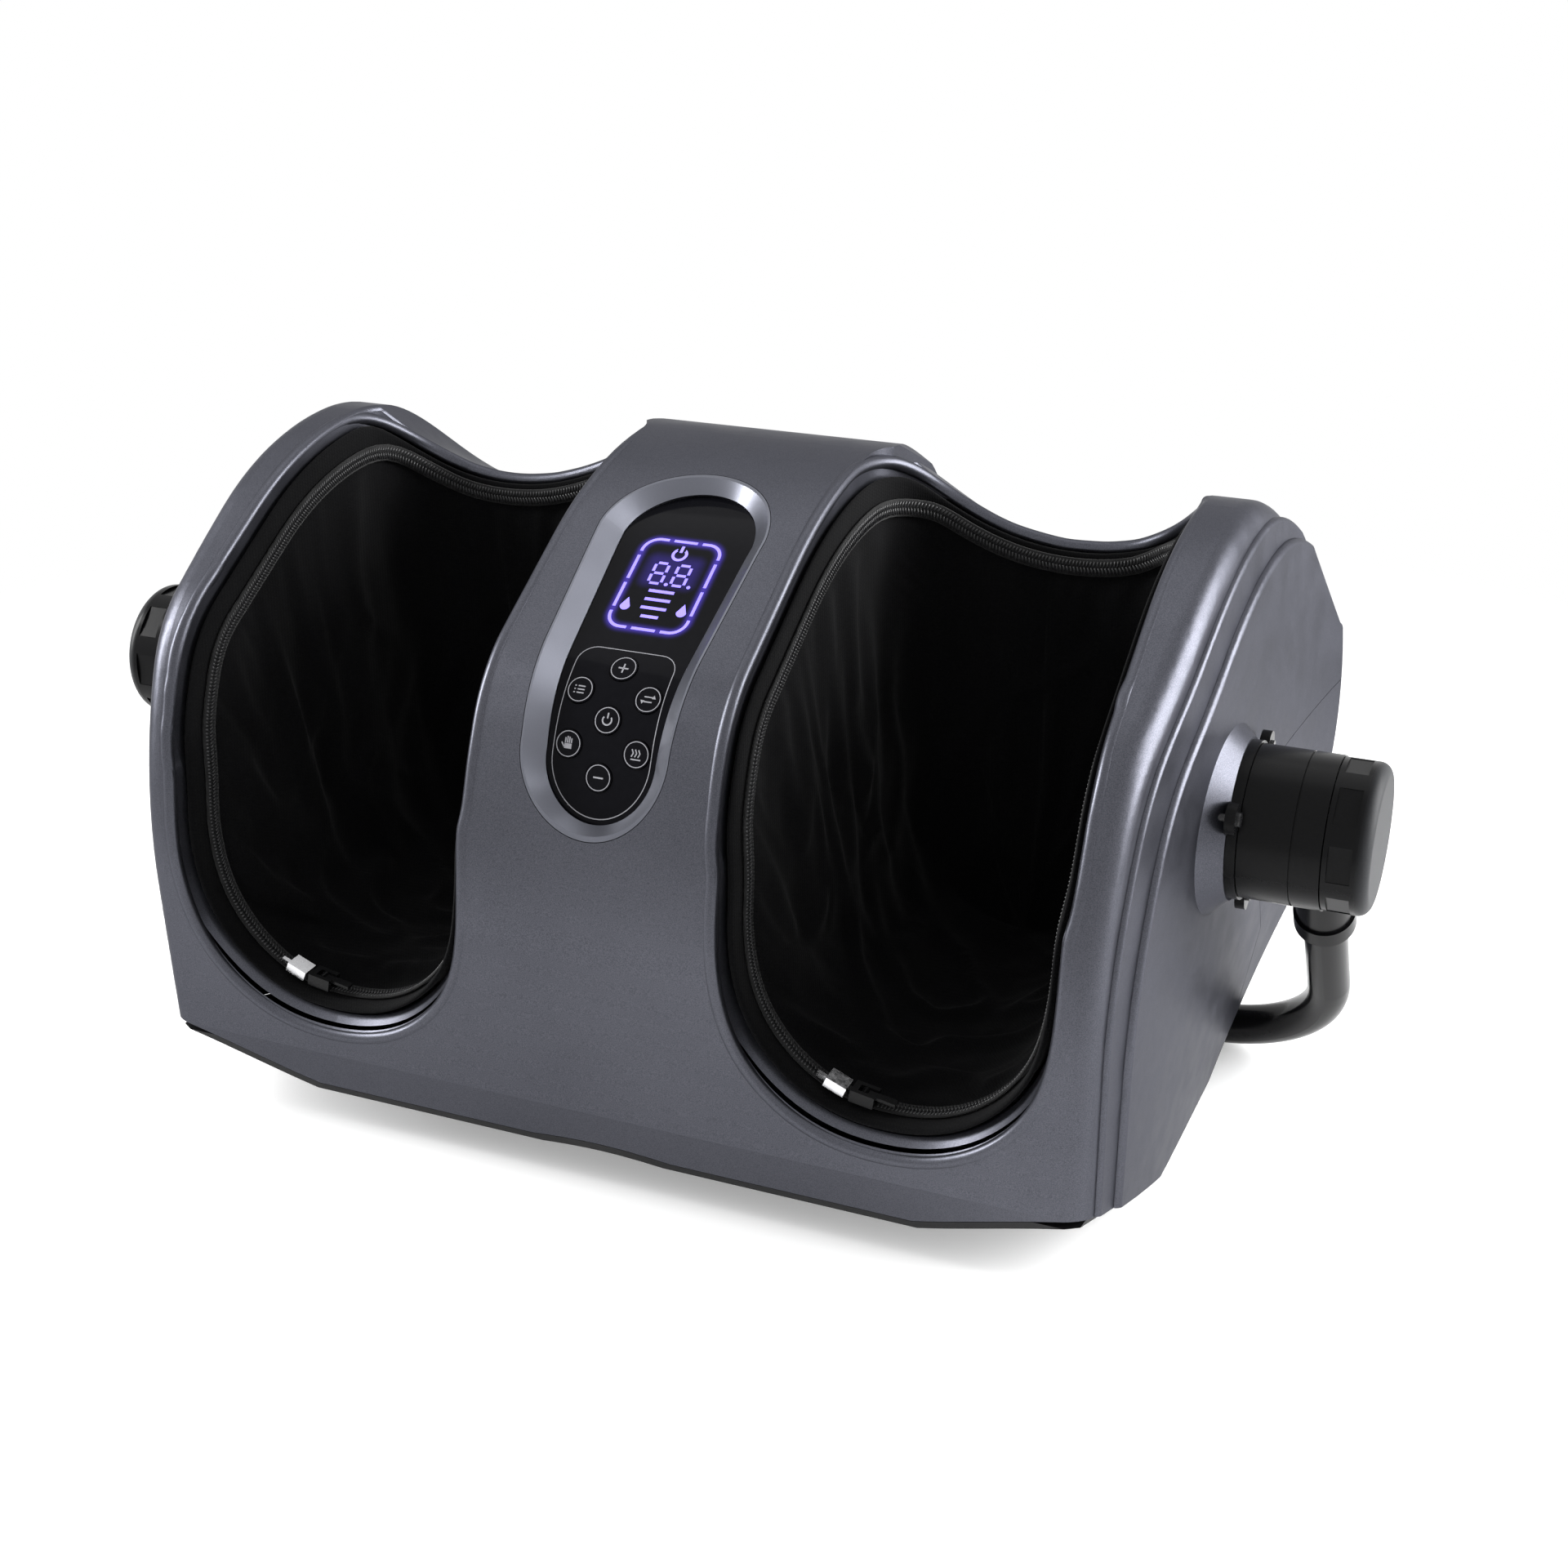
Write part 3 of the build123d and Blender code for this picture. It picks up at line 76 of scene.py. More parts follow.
class Finish:
    def __init__(self, name, **shader):
        self.material = bpy.data.materials.new(name)
        self.material.use_nodes = True
        self.tree = self.material.node_tree
        self.tree.nodes.clear()
        self.shader = self.node("ShaderNodeBsdfPrincipled")
        out = self.node("ShaderNodeOutputMaterial")
        self.tree.links.new(self.shader.outputs[0], out.inputs[0])
        for key, value in shader.items():
            self.set(key, value)

    def set(self, key, value):
        socket = self.shader.inputs[key.replace("_", " ")]
        if isinstance(value, Num):
            value = value.socket
        if isinstance(value, bpy.types.NodeSocket):
            self.tree.links.new(value, socket)
        elif isinstance(value, (tuple, list)) and len(value) == 3:
            socket.default_value = (*value, 1.0)
        else:
            socket.default_value = value
        return self

    def node(self, kind, settings=None, inputs=None):
        made = self.tree.nodes.new(kind)
        for key, value in (settings or {}).items():
            if key == "stops":
                ramp = made.color_ramp
                while len(ramp.elements) < len(value):
                    ramp.elements.new(0.5)
                for element, (spot, colour) in zip(ramp.elements, value):
                    element.position = spot
                    element.color = (*colour, 1.0)
            else:
                setattr(made, key, value)
        for key, value in (inputs or {}).items():
            if isinstance(value, Num):
                value = value.socket
            if isinstance(value, bpy.types.NodeSocket):
                self.tree.links.new(value, made.inputs[key])
            else:
                made.inputs[key].default_value = value
        return made

    def math(self, operation, first, second=0.0, third=None):
        inputs = {0: first, 1: second}
        if third is not None:
            inputs[2] = third
        return Num(self, self.node("ShaderNodeMath", {"operation": operation}, inputs).outputs[0])

    def place(self):
        return self.node("ShaderNodeTexCoord").outputs["Object"]

    def axes(self):
        parts = self.node("ShaderNodeSeparateXYZ", None, {0: self.place()})
        return [Num(self, parts.outputs[k]) for k in range(3)]

    def noise(self, scale, detail=2.0, rough=0.5, stretch=(1, 1, 1)):
        spot = self.node("ShaderNodeMapping", None, {"Vector": self.place(), "Scale": stretch})
        made = self.node("ShaderNodeTexNoise", None, {
            "Vector": spot.outputs[0], "Scale": scale, "Detail": detail, "Roughness": rough})
        return Num(self, made.outputs[0])

    def spread(self, value, low, high, to=(0.0, 1.0), smooth=True):
        kind = "SMOOTHSTEP" if smooth else "LINEAR"
        made = self.node("ShaderNodeMapRange", {"interpolation_type": kind}, {
            "Value": value, "From Min": low, "From Max": high, "To Min": to[0], "To Max": to[1]})
        return Num(self, made.outputs[0])

    def mix(self, factor, first, second):
        made = self.node("ShaderNodeMix", {"data_type": "RGBA"}, {0: factor})
        for slot, colour in ((6, first), (7, second)):
            if isinstance(colour, bpy.types.NodeSocket):
                self.tree.links.new(colour, made.inputs[slot])
            else:
                made.inputs[slot].default_value = (*colour, 1.0)
        return made.outputs[2]

    def bump(self, height, strength, distance):
        made = self.node("ShaderNodeBump", None, {
            "Height": height, "Strength": strength, "Distance": distance})
        self.set("Normal", made.outputs[0])
        return self


def shellPaint():
    f = Finish("shellPaint", Metallic=0.85, Roughness=0.36, Specular_Tint=(0.45, 0.45, 0.46))
    flake = f.noise(2600.0, 1.0)
    broad = f.noise(9.0, 2.0)
    tone = f.spread(flake * 0.75 + broad * 0.25, 0.3, 0.7)
    f.set("Base_Color", f.mix(tone, (0.056, 0.058, 0.070), (0.095, 0.097, 0.115)))
    f.set("Roughness", f.spread(f.noise(60.0, 3.0), 0.3, 0.7, (0.33, 0.40)))
    return f.bump(flake, 0.06, 0.0002)


def bezelPaint():
    f = Finish("bezelPaint", Metallic=0.86, Roughness=0.35, Specular_Tint=(0.7, 0.7, 0.7))
    flake = f.noise(2600.0, 1.0)
    f.set("Base_Color", f.mix(flake, (0.135, 0.14, 0.165), (0.155, 0.16, 0.188)))
    f.set("Roughness", f.spread(f.noise(80.0, 3.0), 0.3, 0.7, (0.33, 0.37)))
    return f


slope = 0.70711         # the panel leans back by 45 degrees

panelSpec = {
    "spot": (0.0, frontY + 0.0366, 0.2208),     # where the panel plane touches the console
    "half": 0.01675, "tall": 0.02285, "round": 0.0065, "middle": 0.0445,
    "glow": (0.16, 0.10, 1.0),
}


def panelAxes(f):
    x, y, z = f.axes()
    up = (y - panelSpec["spot"][1]) * slope + (z - panelSpec["spot"][2]) * slope
    return x, up


def lensGloss():
    # gloss black window, with the light that the lit symbols spill into it
    f = Finish("lensGloss", Roughness=0.09, Specular_IOR_Level=0.05)
    x, up = panelAxes(f)
    p = panelSpec
    qx = abs(x) - (p["half"] - p["round"])
    qy = abs(up - p["middle"]) - (p["tall"] - p["round"])
    outX = f.math("MAXIMUM", qx, 0.0)
    outY = f.math("MAXIMUM", qy, 0.0)
    away = f.math("SQRT", outX * outX + outY * outY)
    inside = f.math("MINIMUM", f.math("MAXIMUM", qx, qy), 0.0)
    edge = abs(away + inside - p["round"])
    halo = f.spread(edge, 0.0, 0.0042, (1.0, 0.0)) ** 2.2
    digitX = f.math("MAXIMUM", abs(x) - 0.0085, 0.0)
    digitY = f.math("MAXIMUM", abs(up - 0.0515) - 0.0048, 0.0)
    digit = f.spread(f.math("SQRT", digitX * digitX + digitY * digitY), 0.0, 0.006, (0.35, 0.0))
    glow = f.math("MAXIMUM", halo * 0.42, digit * 0.38)
    f.set("Emission_Color", f.mix(glow, (0.0, 0.0, 0.0), p["glow"]))
    f.set("Emission_Strength", 1.0)
    f.set("Base_Color", f.mix(f.noise(300.0), (0.0035, 0.0035, 0.005), (0.006, 0.006, 0.008)))
    return f


def litSymbol():
    f = Finish("litSymbol", Roughness=0.3, Emission_Strength=1.35)
    f.set("Base_Color", f.mix(f.noise(400.0), (0.2, 0.17, 0.5), (0.28, 0.24, 0.6)))
    f.set("Emission_Color", f.mix(f.noise(90.0), (0.16, 0.11, 1.0), (0.25, 0.19, 1.0)))
    return f


def printInk():
    f = Finish("printInk", Roughness=0.45)
    f.set("Base_Color", f.mix(f.noise(900.0), (0.30, 0.30, 0.33), (0.42, 0.42, 0.45)))
    return f


def plastic(name, dark, light, rough, grain=900.0, bump=0.12, shine=0.5):
    f = Finish(name, Specular_IOR_Level=shine)
    speck = f.noise(grain, 3.0)
    f.set("Base_Color", f.mix(speck, dark, light))
    f.set("Roughness", f.spread(f.noise(40.0, 3.0), 0.3, 0.7, (rough - 0.04, rough + 0.05)))
    return f.bump(speck, bump, 0.0002)


def hubPlastic():
    # black moulding with a greyer, rougher end face on each knob
    f = Finish("hubPlastic", Specular_IOR_Level=0.10)
    x, y, z = f.axes()
    grain = f.noise(1400.0, 3.0)
    face = f.spread(abs(x), 0.2745, 0.2790)
    plain = f.mix(grain, (0.003, 0.003, 0.0033), (0.007, 0.007, 0.0076))
    greyFace = f.mix(grain, (0.022, 0.023, 0.025), (0.036, 0.037, 0.040))
    f.set("Base_Color", f.mix(face, plain, greyFace))
    f.set("Roughness", f.spread(face + f.noise(50.0) * 0.2, 0.0, 1.2, (0.24, 0.48)))
    return f.bump(grain, 0.10, 0.00015)


def metal(name, dark, light, rough, brush=(1, 1, 1)):
    f = Finish(name, Metallic=1.0)
    streak = f.noise(500.0, 3.0, 0.6, brush)
    f.set("Base_Color", f.mix(streak, dark, light))
    f.set("Roughness", f.spread(streak, 0.2, 0.8, (rough - 0.06, rough + 0.08)))
    return f.bump(streak, 0.05, 0.0001)


def knitFabric():
    # black brushed knit: fine rows, soft mottle and a little sheen on the folds
    f = Finish("knitFabric", Sheen_Weight=0.035, Sheen_Roughness=0.5, Specular_IOR_Level=0.06)
    x, y, z = f.axes()
    ribs = f.math("SINE", (x + y * 0.6) * 5200.0) * 0.5 + 0.5
    rows = f.math("SINE", (z + y * 0.5) * 4300.0) * 0.5 + 0.5
    pile = f.noise(1500.0, 3.0, 0.6)
    mottle = f.noise(34.0, 4.0, 0.6, (1, 1, 0.45))
    tone = f.spread(pile * 0.45 + mottle * 0.55, 0.35, 0.68)
    f.set("Base_Color", f.mix(tone, (0.0022, 0.0022, 0.0025), (0.0062, 0.0062, 0.0068)))
    f.set("Roughness", f.spread(mottle, 0.3, 0.7, (0.82, 0.95)))
    return f.bump(ribs * rows * 0.5 + pile * 0.7 + mottle * 1.4, 0.35, 0.0006)


def zipTape():
    f = Finish("zipTape", Sheen_Weight=0.1, Specular_IOR_Level=0.3)
    x, y, z = f.axes()
    weave = f.math("SINE", (x + z) * 7000.0) * f.math("SINE", (y - z) * 7000.0)
    f.set("Base_Color", f.mix(f.spread(weave, -0.6, 0.6), (0.003, 0.003, 0.0033), (0.007, 0.007, 0.0075)))
    f.set("Roughness", f.spread(f.noise(120.0), 0.3, 0.7, (0.7, 0.85)))
    return f.bump(weave, 0.3, 0.0003)


finishes = {
    "shell_silver": shellPaint(),
    "bezel_silver": bezelPaint(),
    "lens_black": lensGloss(),
    "display_lit": litSymbol(),
    "key_black": plastic("keyGloss", (0.003, 0.003, 0.0045), (0.006, 0.006, 0.008), 0.12, 700.0, 0.02, 0.06),
    "base_black": plastic("basePlastic", (0.005, 0.005, 0.0055), (0.011, 0.011, 0.012), 0.5, shine=0.2),
    "plain_black": plastic("innerPlastic", (0.008, 0.008, 0.009), (0.018, 0.018, 0.02), 0.5),
    "hub_black": hubPlastic(),
    "bar_black": plastic("barCoat", (0.004, 0.004, 0.0045), (0.008, 0.008, 0.009), 0.16, 500.0, 0.03, 0.14),
    "key_rubber": plastic("membraneRubber", (0.45, 0.45, 0.43), (0.6, 0.6, 0.58), 0.6),
    "board_green": plastic("circuitBoard", (0.01, 0.09, 0.03), (0.02, 0.14, 0.06), 0.4),
    "zip_silver": metal("zipNickel", (0.62, 0.62, 0.64), (0.82, 0.82, 0.84), 0.22),
    "zip_black": plastic(
        "zipEnamel", (0.004, 0.004, 0.0045), (0.009, 0.009, 0.0095), 0.28, bump=0.05, shine=0.18),
    "zip_fabric": zipTape(),
    "lining_fabric": knitFabric(),
    "screw_steel": metal("zincScrew", (0.4, 0.4, 0.42), (0.6, 0.6, 0.62), 0.35),
    "screw_black": plastic("blackScrew", (0.008, 0.008, 0.009), (0.02, 0.02, 0.022), 0.3),
    "shaft_steel": metal("groundSteel", (0.45, 0.45, 0.46), (0.62, 0.62, 0.63), 0.28, (1, 30, 30)),
    "frame_grey": plastic("frameMoulding", (0.16, 0.165, 0.18), (0.24, 0.25, 0.27), 0.55),
    "disc_white": plastic("discMoulding", (0.5, 0.5, 0.48), (0.66, 0.66, 0.64), 0.45),
    "plate_white": plastic("plateMoulding", (0.5, 0.5, 0.48), (0.66, 0.66, 0.64), 0.45),
    "belt_rubber": plastic("beltRubber", (0.008, 0.008, 0.008), (0.02, 0.02, 0.02), 0.7, 1200.0, 0.3),
    "motor_steel": metal("motorCan", (0.3, 0.3, 0.31), (0.42, 0.42, 0.43), 0.38, (1, 20, 20)),
    "foot_rubber": plastic("footRubber", (0.01, 0.01, 0.01), (0.025, 0.025, 0.025), 0.75, 1200.0, 0.3),
    "heater_orange": plastic("heaterFoil", (0.32, 0.10, 0.02), (0.5, 0.18, 0.05), 0.5),
    "roller_grey": plastic("rollerRubber", (0.12, 0.12, 0.13), (0.2, 0.2, 0.21), 0.65, 900.0, 0.25),
}
ink = printInk()
coil = plastic("zipCoil", (0.013, 0.013, 0.014), (0.026, 0.026, 0.028), 0.32, bump=0.05)

for part in record["subparts"]:
    piece = nodes[part["node"]]
    material = finishes[part["material_slot"]].material
    if not piece.material_slots:
        piece.data.materials.append(material)
    for slot in piece.material_slots:
        slot.material = material
print("finishes set:", len(finishes))


def addPiece(name, bm, finish, body, smooth=True):
    mesh = bpy.data.meshes.new(name)
    bm.to_mesh(mesh)
    bm.free()
    piece = bpy.data.objects.new(name, mesh)
    bpy.context.scene.collection.objects.link(piece)
    mesh.materials.append(finish.material)
    for face in mesh.polygons:
        face.use_smooth = smooth
    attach(piece, body)
    return piece


def tree(nodeName):
    bm = bmesh.new()
    bm.from_mesh(nodes[nodeName].data)
    bmesh.ops.remove_doubles(bm, verts=bm.verts, dist=1e-6)
    bmesh.ops.recalc_face_normals(bm, faces=bm.faces)
    made = BVHTree.FromBMesh(bm)
    bm.free()
    return made


# ---------- well linings: a soft bag cast on to the inside of each lining solid

liningSpec = {
    "columns": 176, "rings": 54,
    "eyeDepth": 0.100, "eyeHeight": 0.150,
    "pole": Vector((0.0, 0.72, -0.69)).normalized(),
    "foldDeep": 0.0066, "padDeep": 0.0042,
    "thick": 0.0022, "outLimit": 0.0005, "inLimit": 0.0085,
    "calmFrom": 0.004, "calmOver": 0.016, "calmEdge": 5.0,      # folds fade near the zip and the rim
    "seam": 0.0045, "hem": 0.97,                                # what the cloth run keeps in place
}
scanSpec = {"first": 0.2, "step": 0.02, "mouth": 2.9, "halvings": 14, "inset": 0.0005}
clothSpec = {
    "frames": 16, "grow": -0.045, "quality": 5, "mass": 0.25, "tension": 18.0, "compression": 12.0,
    "shear": 6.0, "bending": 0.35, "air": 4.0, "gravity": 0.25, "slide": 0.004,
}
foldSpec = {"across": 26.0, "slope": 13.0, "deep": 30.0, "fall": 9.0, "tall": 7.0, "lean": 3.0,
            "sharp": 2.2, "broad": 0.75, "fine": 0.28, "fineScale": 2.3}
plateSpec = {"wall": 0.045, "wallOver": 0.012, "middles": (0.074, 0.132), "half": 0.017,
             "height": 0.135, "rise": 0.048}


def eyePoint(side):
    return Vector((side * wellX, frontY + liningSpec["eyeDepth"], liningSpec["eyeHeight"]))


def rayAt(turn, lean):
    # turn goes round the well, lean opens from the back of the foot room to the mouth
    pole = liningSpec["pole"]
    across = Vector((1, 0, 0))
    flat = across * cos(turn) + pole.cross(across) * sin(turn)
    return pole * cos(lean) + flat * sin(lean)


def castBag(side):
    word = "left" if side < 0 else "right"
    lining = tree("well_lining_" + word)
    eye = eyePoint(side)
    scan = scanSpec

    def rim(turn):
        low = lean = scan["first"]
        while lean < scan["mouth"] and lining.ray_cast(eye, rayAt(turn, lean))[0] is not None:
            low = lean
            lean += scan["step"]
        high = lean
        for _ in range(scan["halvings"]):
            middle = (low + high) / 2
            if lining.ray_cast(eye, rayAt(turn, middle))[0] is None:
                high = middle
            else:
                low = middle
        return low - scan["inset"]

    return lining, eye, rim


def foldAmount(spot, side):
    # long soft folds that run down, forwards and to the left in both wells
    s = foldSpec
    d = spot.y - frontY
    h = spot.z
    flow = Vector((
        spot.x * s["across"] - h * s["slope"], d * s["deep"] - h * s["fall"], h * s["tall"] + d * s["lean"]))
    long = noise.noise(flow + Vector((side * 3.7, 1.3, 0.4)))
    ridge = 1.0 - abs(long) * s["sharp"]
    fine = noise.noise(flow * s["fineScale"] + Vector((5.1, 0.0, side)))
    return max(0.0, ridge) ** 2 * s["broad"] + fine * s["fine"]


def padAmount(spot, side):
    # the kneading plates push two upright swellings out of each side wall
    s = plateSpec
    wall = min(1.0, max(0.0, (abs(spot.x - side * wellX) - s["wall"]) / s["wallOver"]))
    total = 0.0
    for centre in s["middles"]:
        reach = (spot.y - frontY - centre) / s["half"]
        rise = (spot.z - s["height"]) / s["rise"]
        total += max(0.0, 1.0 - reach * reach) ** 1.5 * max(0.0, 1.0 - rise * rise) ** 0.6
    return wall * total


def wellLining(side):
    spec = liningSpec
    word = "left" if side < 0 else "right"
    lining, eye, rim = castBag(side)
    chain = tree("zip_chain_" + word)
    bm = bmesh.new()
    bmesh.ops.create_grid(bm, x_segments=spec["columns"], y_segments=spec["rings"], size=1.0)
    rims = {}
    sewn = bm.verts.layers.deform.verify()
    for vert in bm.verts:
        key = round(vert.co.x, 5)
        turn = (vert.co.x + 1.0) * pi
        if key not in rims:
            rims[key] = rim(turn)
        share = (vert.co.y + 1.0) / 2.0
        direction = rayAt(turn, rims[key] * share)
        hit = lining.ray_cast(eye, direction)[0]
        if hit is None:
            hit = eye + direction * 0.1
        near = chain.find_nearest(hit)[3]
        edge = min(1.0, (1.0 - share) * spec["calmEdge"])
        calm = min(1.0, max(0.0, (near - spec["calmFrom"]) / spec["calmOver"])) * edge
        push = foldAmount(hit, side) * spec["foldDeep"] + padAmount(hit, side) * spec["padDeep"]
        inward = (eye - hit).normalized()
        if near < spec["seam"] or share > spec["hem"]:
            vert[sewn][0] = 1.0
        vert.co = hit + inward * max(0.0, push) * calm
    bmesh.ops.remove_doubles(bm, verts=bm.verts, dist=0.0002)
    bmesh.ops.recalc_face_normals(bm, faces=bm.faces)
    toward = sum((f.normal.dot(eye - f.calc_center_median()) for f in bm.faces))
    if toward < 0:
        bmesh.ops.reverse_faces(bm, faces=bm.faces)
    piece = addPiece("wellFabric_" + word, bm, finishes["lining_fabric"], "housing")
    piece.vertex_groups.new(name="sewn")
    drape(piece, eye)
    skin = piece.modifiers.new("thickness", "SOLIDIFY")
    skin.thickness = spec["thick"]
    skin.offset = -1.0
    soft = piece.modifiers.new("smooth", "SUBSURF")
    soft.levels = 1
    soft.render_levels = 1
    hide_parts("well_lining_" + word)
    return piece


def drape(piece, eye):
    # a short cloth run: the cloth is a little larger than the bag, so it ripples between its seams
    start = [v.co.copy() for v in piece.data.vertices]
    inwards = [(eye - co).normalized() for co in start]
    cloth = piece.modifiers.new("cloth", "CLOTH")
    settings = cloth.settings
    settings.quality = clothSpec["quality"]
    settings.mass = clothSpec["mass"]
    settings.tension_stiffness = clothSpec["tension"]
    settings.compression_stiffness = clothSpec["compression"]
    settings.shear_stiffness = clothSpec["shear"]
    settings.bending_stiffness = clothSpec["bending"]
    settings.air_damping = clothSpec["air"]
    settings.vertex_group_mass = "sewn"
    settings.shrink_min = clothSpec["grow"]
    settings.effector_weights.gravity = clothSpec["gravity"]
    cloth.collision_settings.use_collision = False
    cloth.collision_settings.use_self_collision = False
    scene = bpy.context.scene
    scene.frame_start = 1
    scene.frame_end = clothSpec["frames"]
    cloth.point_cache.frame_start = 1
    cloth.point_cache.frame_end = clothSpec["frames"]
    for number in range(1, clothSpec["frames"] + 1):
        scene.frame_set(number)
    graph = bpy.context.evaluated_depsgraph_get()
    shape = piece.evaluated_get(graph).to_mesh()
    moved = [v.co.copy() for v in shape.vertices]
    piece.evaluated_get(graph).to_mesh_clear()
    piece.modifiers.remove(cloth)
    for vert, home, end, inward in zip(piece.data.vertices, start, moved, inwards):
        step = end - home
        along = step.dot(inward)
        side = step - inward * along
        if side.length > clothSpec["slide"]:
            side *= clothSpec["slide"] / side.length
        along = min(liningSpec["inLimit"], max(-liningSpec["outLimit"], along))
        vert.co = home + side + inward * along
    scene.frame_set(1)
    print("draped", piece.name)


# ---------- coil zips: tape and two rows of teeth along the middle of each chain

zipSpec = {
    "samples": 300, "step": 0.002, "smooth": 3, "tapeWide": 0.0074, "tapeThick": 0.0009, "tapeSink": 0.0012,
    "pitch": 0.0015, "toothLong": 0.0031, "toothRound": 0.00043, "toothOut": 0.00135, "slant": 0.32,
    "toothSink": 0.0003, "toothSides": 6,
}


def zipPath(side):
    word = "left" if side < 0 else "right"
    _, eye, rim = castBag(side)
    chain = tree("zip_chain_" + word)
    points = []
    count = zipSpec["samples"]
    for step in range(count):
        turn = 2 * pi * step / count
        lean = rim(turn)
        first = last = None
        while lean > scanSpec["first"]:
            if chain.ray_cast(eye, rayAt(turn, lean))[0] is not None:
                first = lean if first is None else first
                last = lean
            elif first is not None:
                break
            lean -= zipSpec["step"]
        if first is None:
            continue
        hit, normal, _, _ = chain.ray_cast(eye, rayAt(turn, (first + last) / 2))
        points.append((hit, (eye - hit).normalized() if normal.dot(eye - hit) < 0 else normal))
    return points


def coilZip(side):
    word = "left" if side < 0 else "right"
    points = zipPath(side)
    for _ in range(zipSpec["smooth"]):
        count = len(points)
        points = [
            ((points[k - 1][0] + points[k][0] * 2 + points[(k + 1) % count][0]) / 4,
             (points[k - 1][1] + points[k][1] * 2 + points[(k + 1) % count][1]).normalized())
            for k in range(count)
        ]
    count = len(points)
    bm = bmesh.new()
    rows = []
    for k, (spot, normal) in enumerate(points):
        along = (points[(k + 1) % count][0] - points[k - 1][0]).normalized()
        wide = along.cross(normal).normalized()
        base = spot - normal * zipSpec["tapeSink"]
        rows.append([bm.verts.new(base + wide * zipSpec["tapeWide"] * share) for share in (-0.5, 0.0, 0.5)])
    for k in range(count):
        for j in range(2):
            bm.faces.new((rows[k][j], rows[k][j + 1], rows[(k + 1) % count][j + 1], rows[(k + 1) % count][j]))
    bmesh.ops.recalc_face_normals(bm, faces=bm.faces)
    bmesh.ops.solidify(bm, geom=bm.faces[:], thickness=zipSpec["tapeThick"])
    tape = addPiece("zipTape_" + word, bm, finishes["zip_fabric"], "housing")
    # teeth, evenly spaced by length
    bm = bmesh.new()
    travel = 0.0
    due = 0.0
    for k in range(count):
        spot, normal = points[k]
        ahead, normalAhead = points[(k + 1) % count]
        gap = (ahead - spot).length
        along = (ahead - spot).normalized()
        while due < travel + gap:
            share = (due - travel) / gap
            n = normal.lerp(normalAhead, share).normalized()
            wide = along.cross(n).normalized()
            for sign, lag in ((-1, 0.0), (1, 0.5)):
                centre = spot.lerp(ahead, share) + along * zipSpec["pitch"] * lag
                centre += wide * sign * zipSpec["toothOut"] - n * zipSpec["toothSink"]
                lay = (wide + along * sign * zipSpec["slant"]).normalized()
                turn = Vector((0, 0, 1)).rotation_difference(lay).to_matrix().to_4x4()
                bmesh.ops.create_cone(
                    bm, cap_ends=True, segments=zipSpec["toothSides"], radius1=zipSpec["toothRound"],
                    radius2=zipSpec["toothRound"], depth=zipSpec["toothLong"],
                    matrix=Matrix.Translation(centre) @ turn)
            due += zipSpec["pitch"]
        travel += gap
    addPiece("zipTeeth_" + word, bm, coil, "housing")
    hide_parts("zip_chain_" + word)
    print("zip", word, round(travel, 3), "m")


# ---------- rounded bead along the edge of each well

beadSpec = {
    "samples": 480, "radius": 0.0029, "sink": 0.0028, "sides": 4,
    "reach": 0.25, "step": 0.008, "halvings": 12,           # how the rim is looked for
    "sharp": 0.6, "edgeStep": 0.002, "snap": 0.0012,        # which edges of the shell it follows
    "mend": 12, "off": 0.0003, "offShare": 0.08, "smooth": 7,
}


def rimEdges():
    # close spots along each sharp outer edge of the front shell, with its outward direction
    bm = bmesh.new()
    bm.from_mesh(nodes["front_shell"].data)
    bmesh.ops.remove_doubles(bm, verts=bm.verts, dist=1e-6)
    found = []
    for edge in bm.edges:
        if len(edge.link_faces) != 2 or not edge.is_convex or edge.calc_face_angle() < beadSpec["sharp"]:
            continue
        out = (edge.link_faces[0].normal + edge.link_faces[1].normal).normalized()
        first, second = edge.verts[0].co.copy(), edge.verts[1].co.copy()
        parts = max(1, int((second - first).length / beadSpec["edgeStep"]))
        found += [(first, second, out, (j + 0.5) / parts) for j in range(parts)]
    bm.free()
    spots = KDTree(len(found))
    for k, (first, second, _, share) in enumerate(found):
        spots.insert(first.lerp(second, share), k)
    spots.balance()
    return spots, found


def tubeMesh(points, radius):
    curve = bpy.data.curves.new("path", "CURVE")
    curve.dimensions = "3D"
    curve.bevel_depth = radius
    curve.bevel_resolution = beadSpec["sides"]
    line = curve.splines.new("POLY")
    line.points.add(len(points) - 1)
    for point, spot in zip(line.points, points):
        point.co = (*spot, 1.0)
    line.use_cyclic_u = True
    holder = bpy.data.objects.new("path", curve)
    bm = bmesh.new()
    bm.from_mesh(holder.to_mesh())
    bpy.data.objects.remove(holder)
    bmesh.ops.remove_doubles(bm, verts=bm.verts, dist=1e-6)
    bmesh.ops.recalc_face_normals(bm, faces=bm.faces)
    return bm


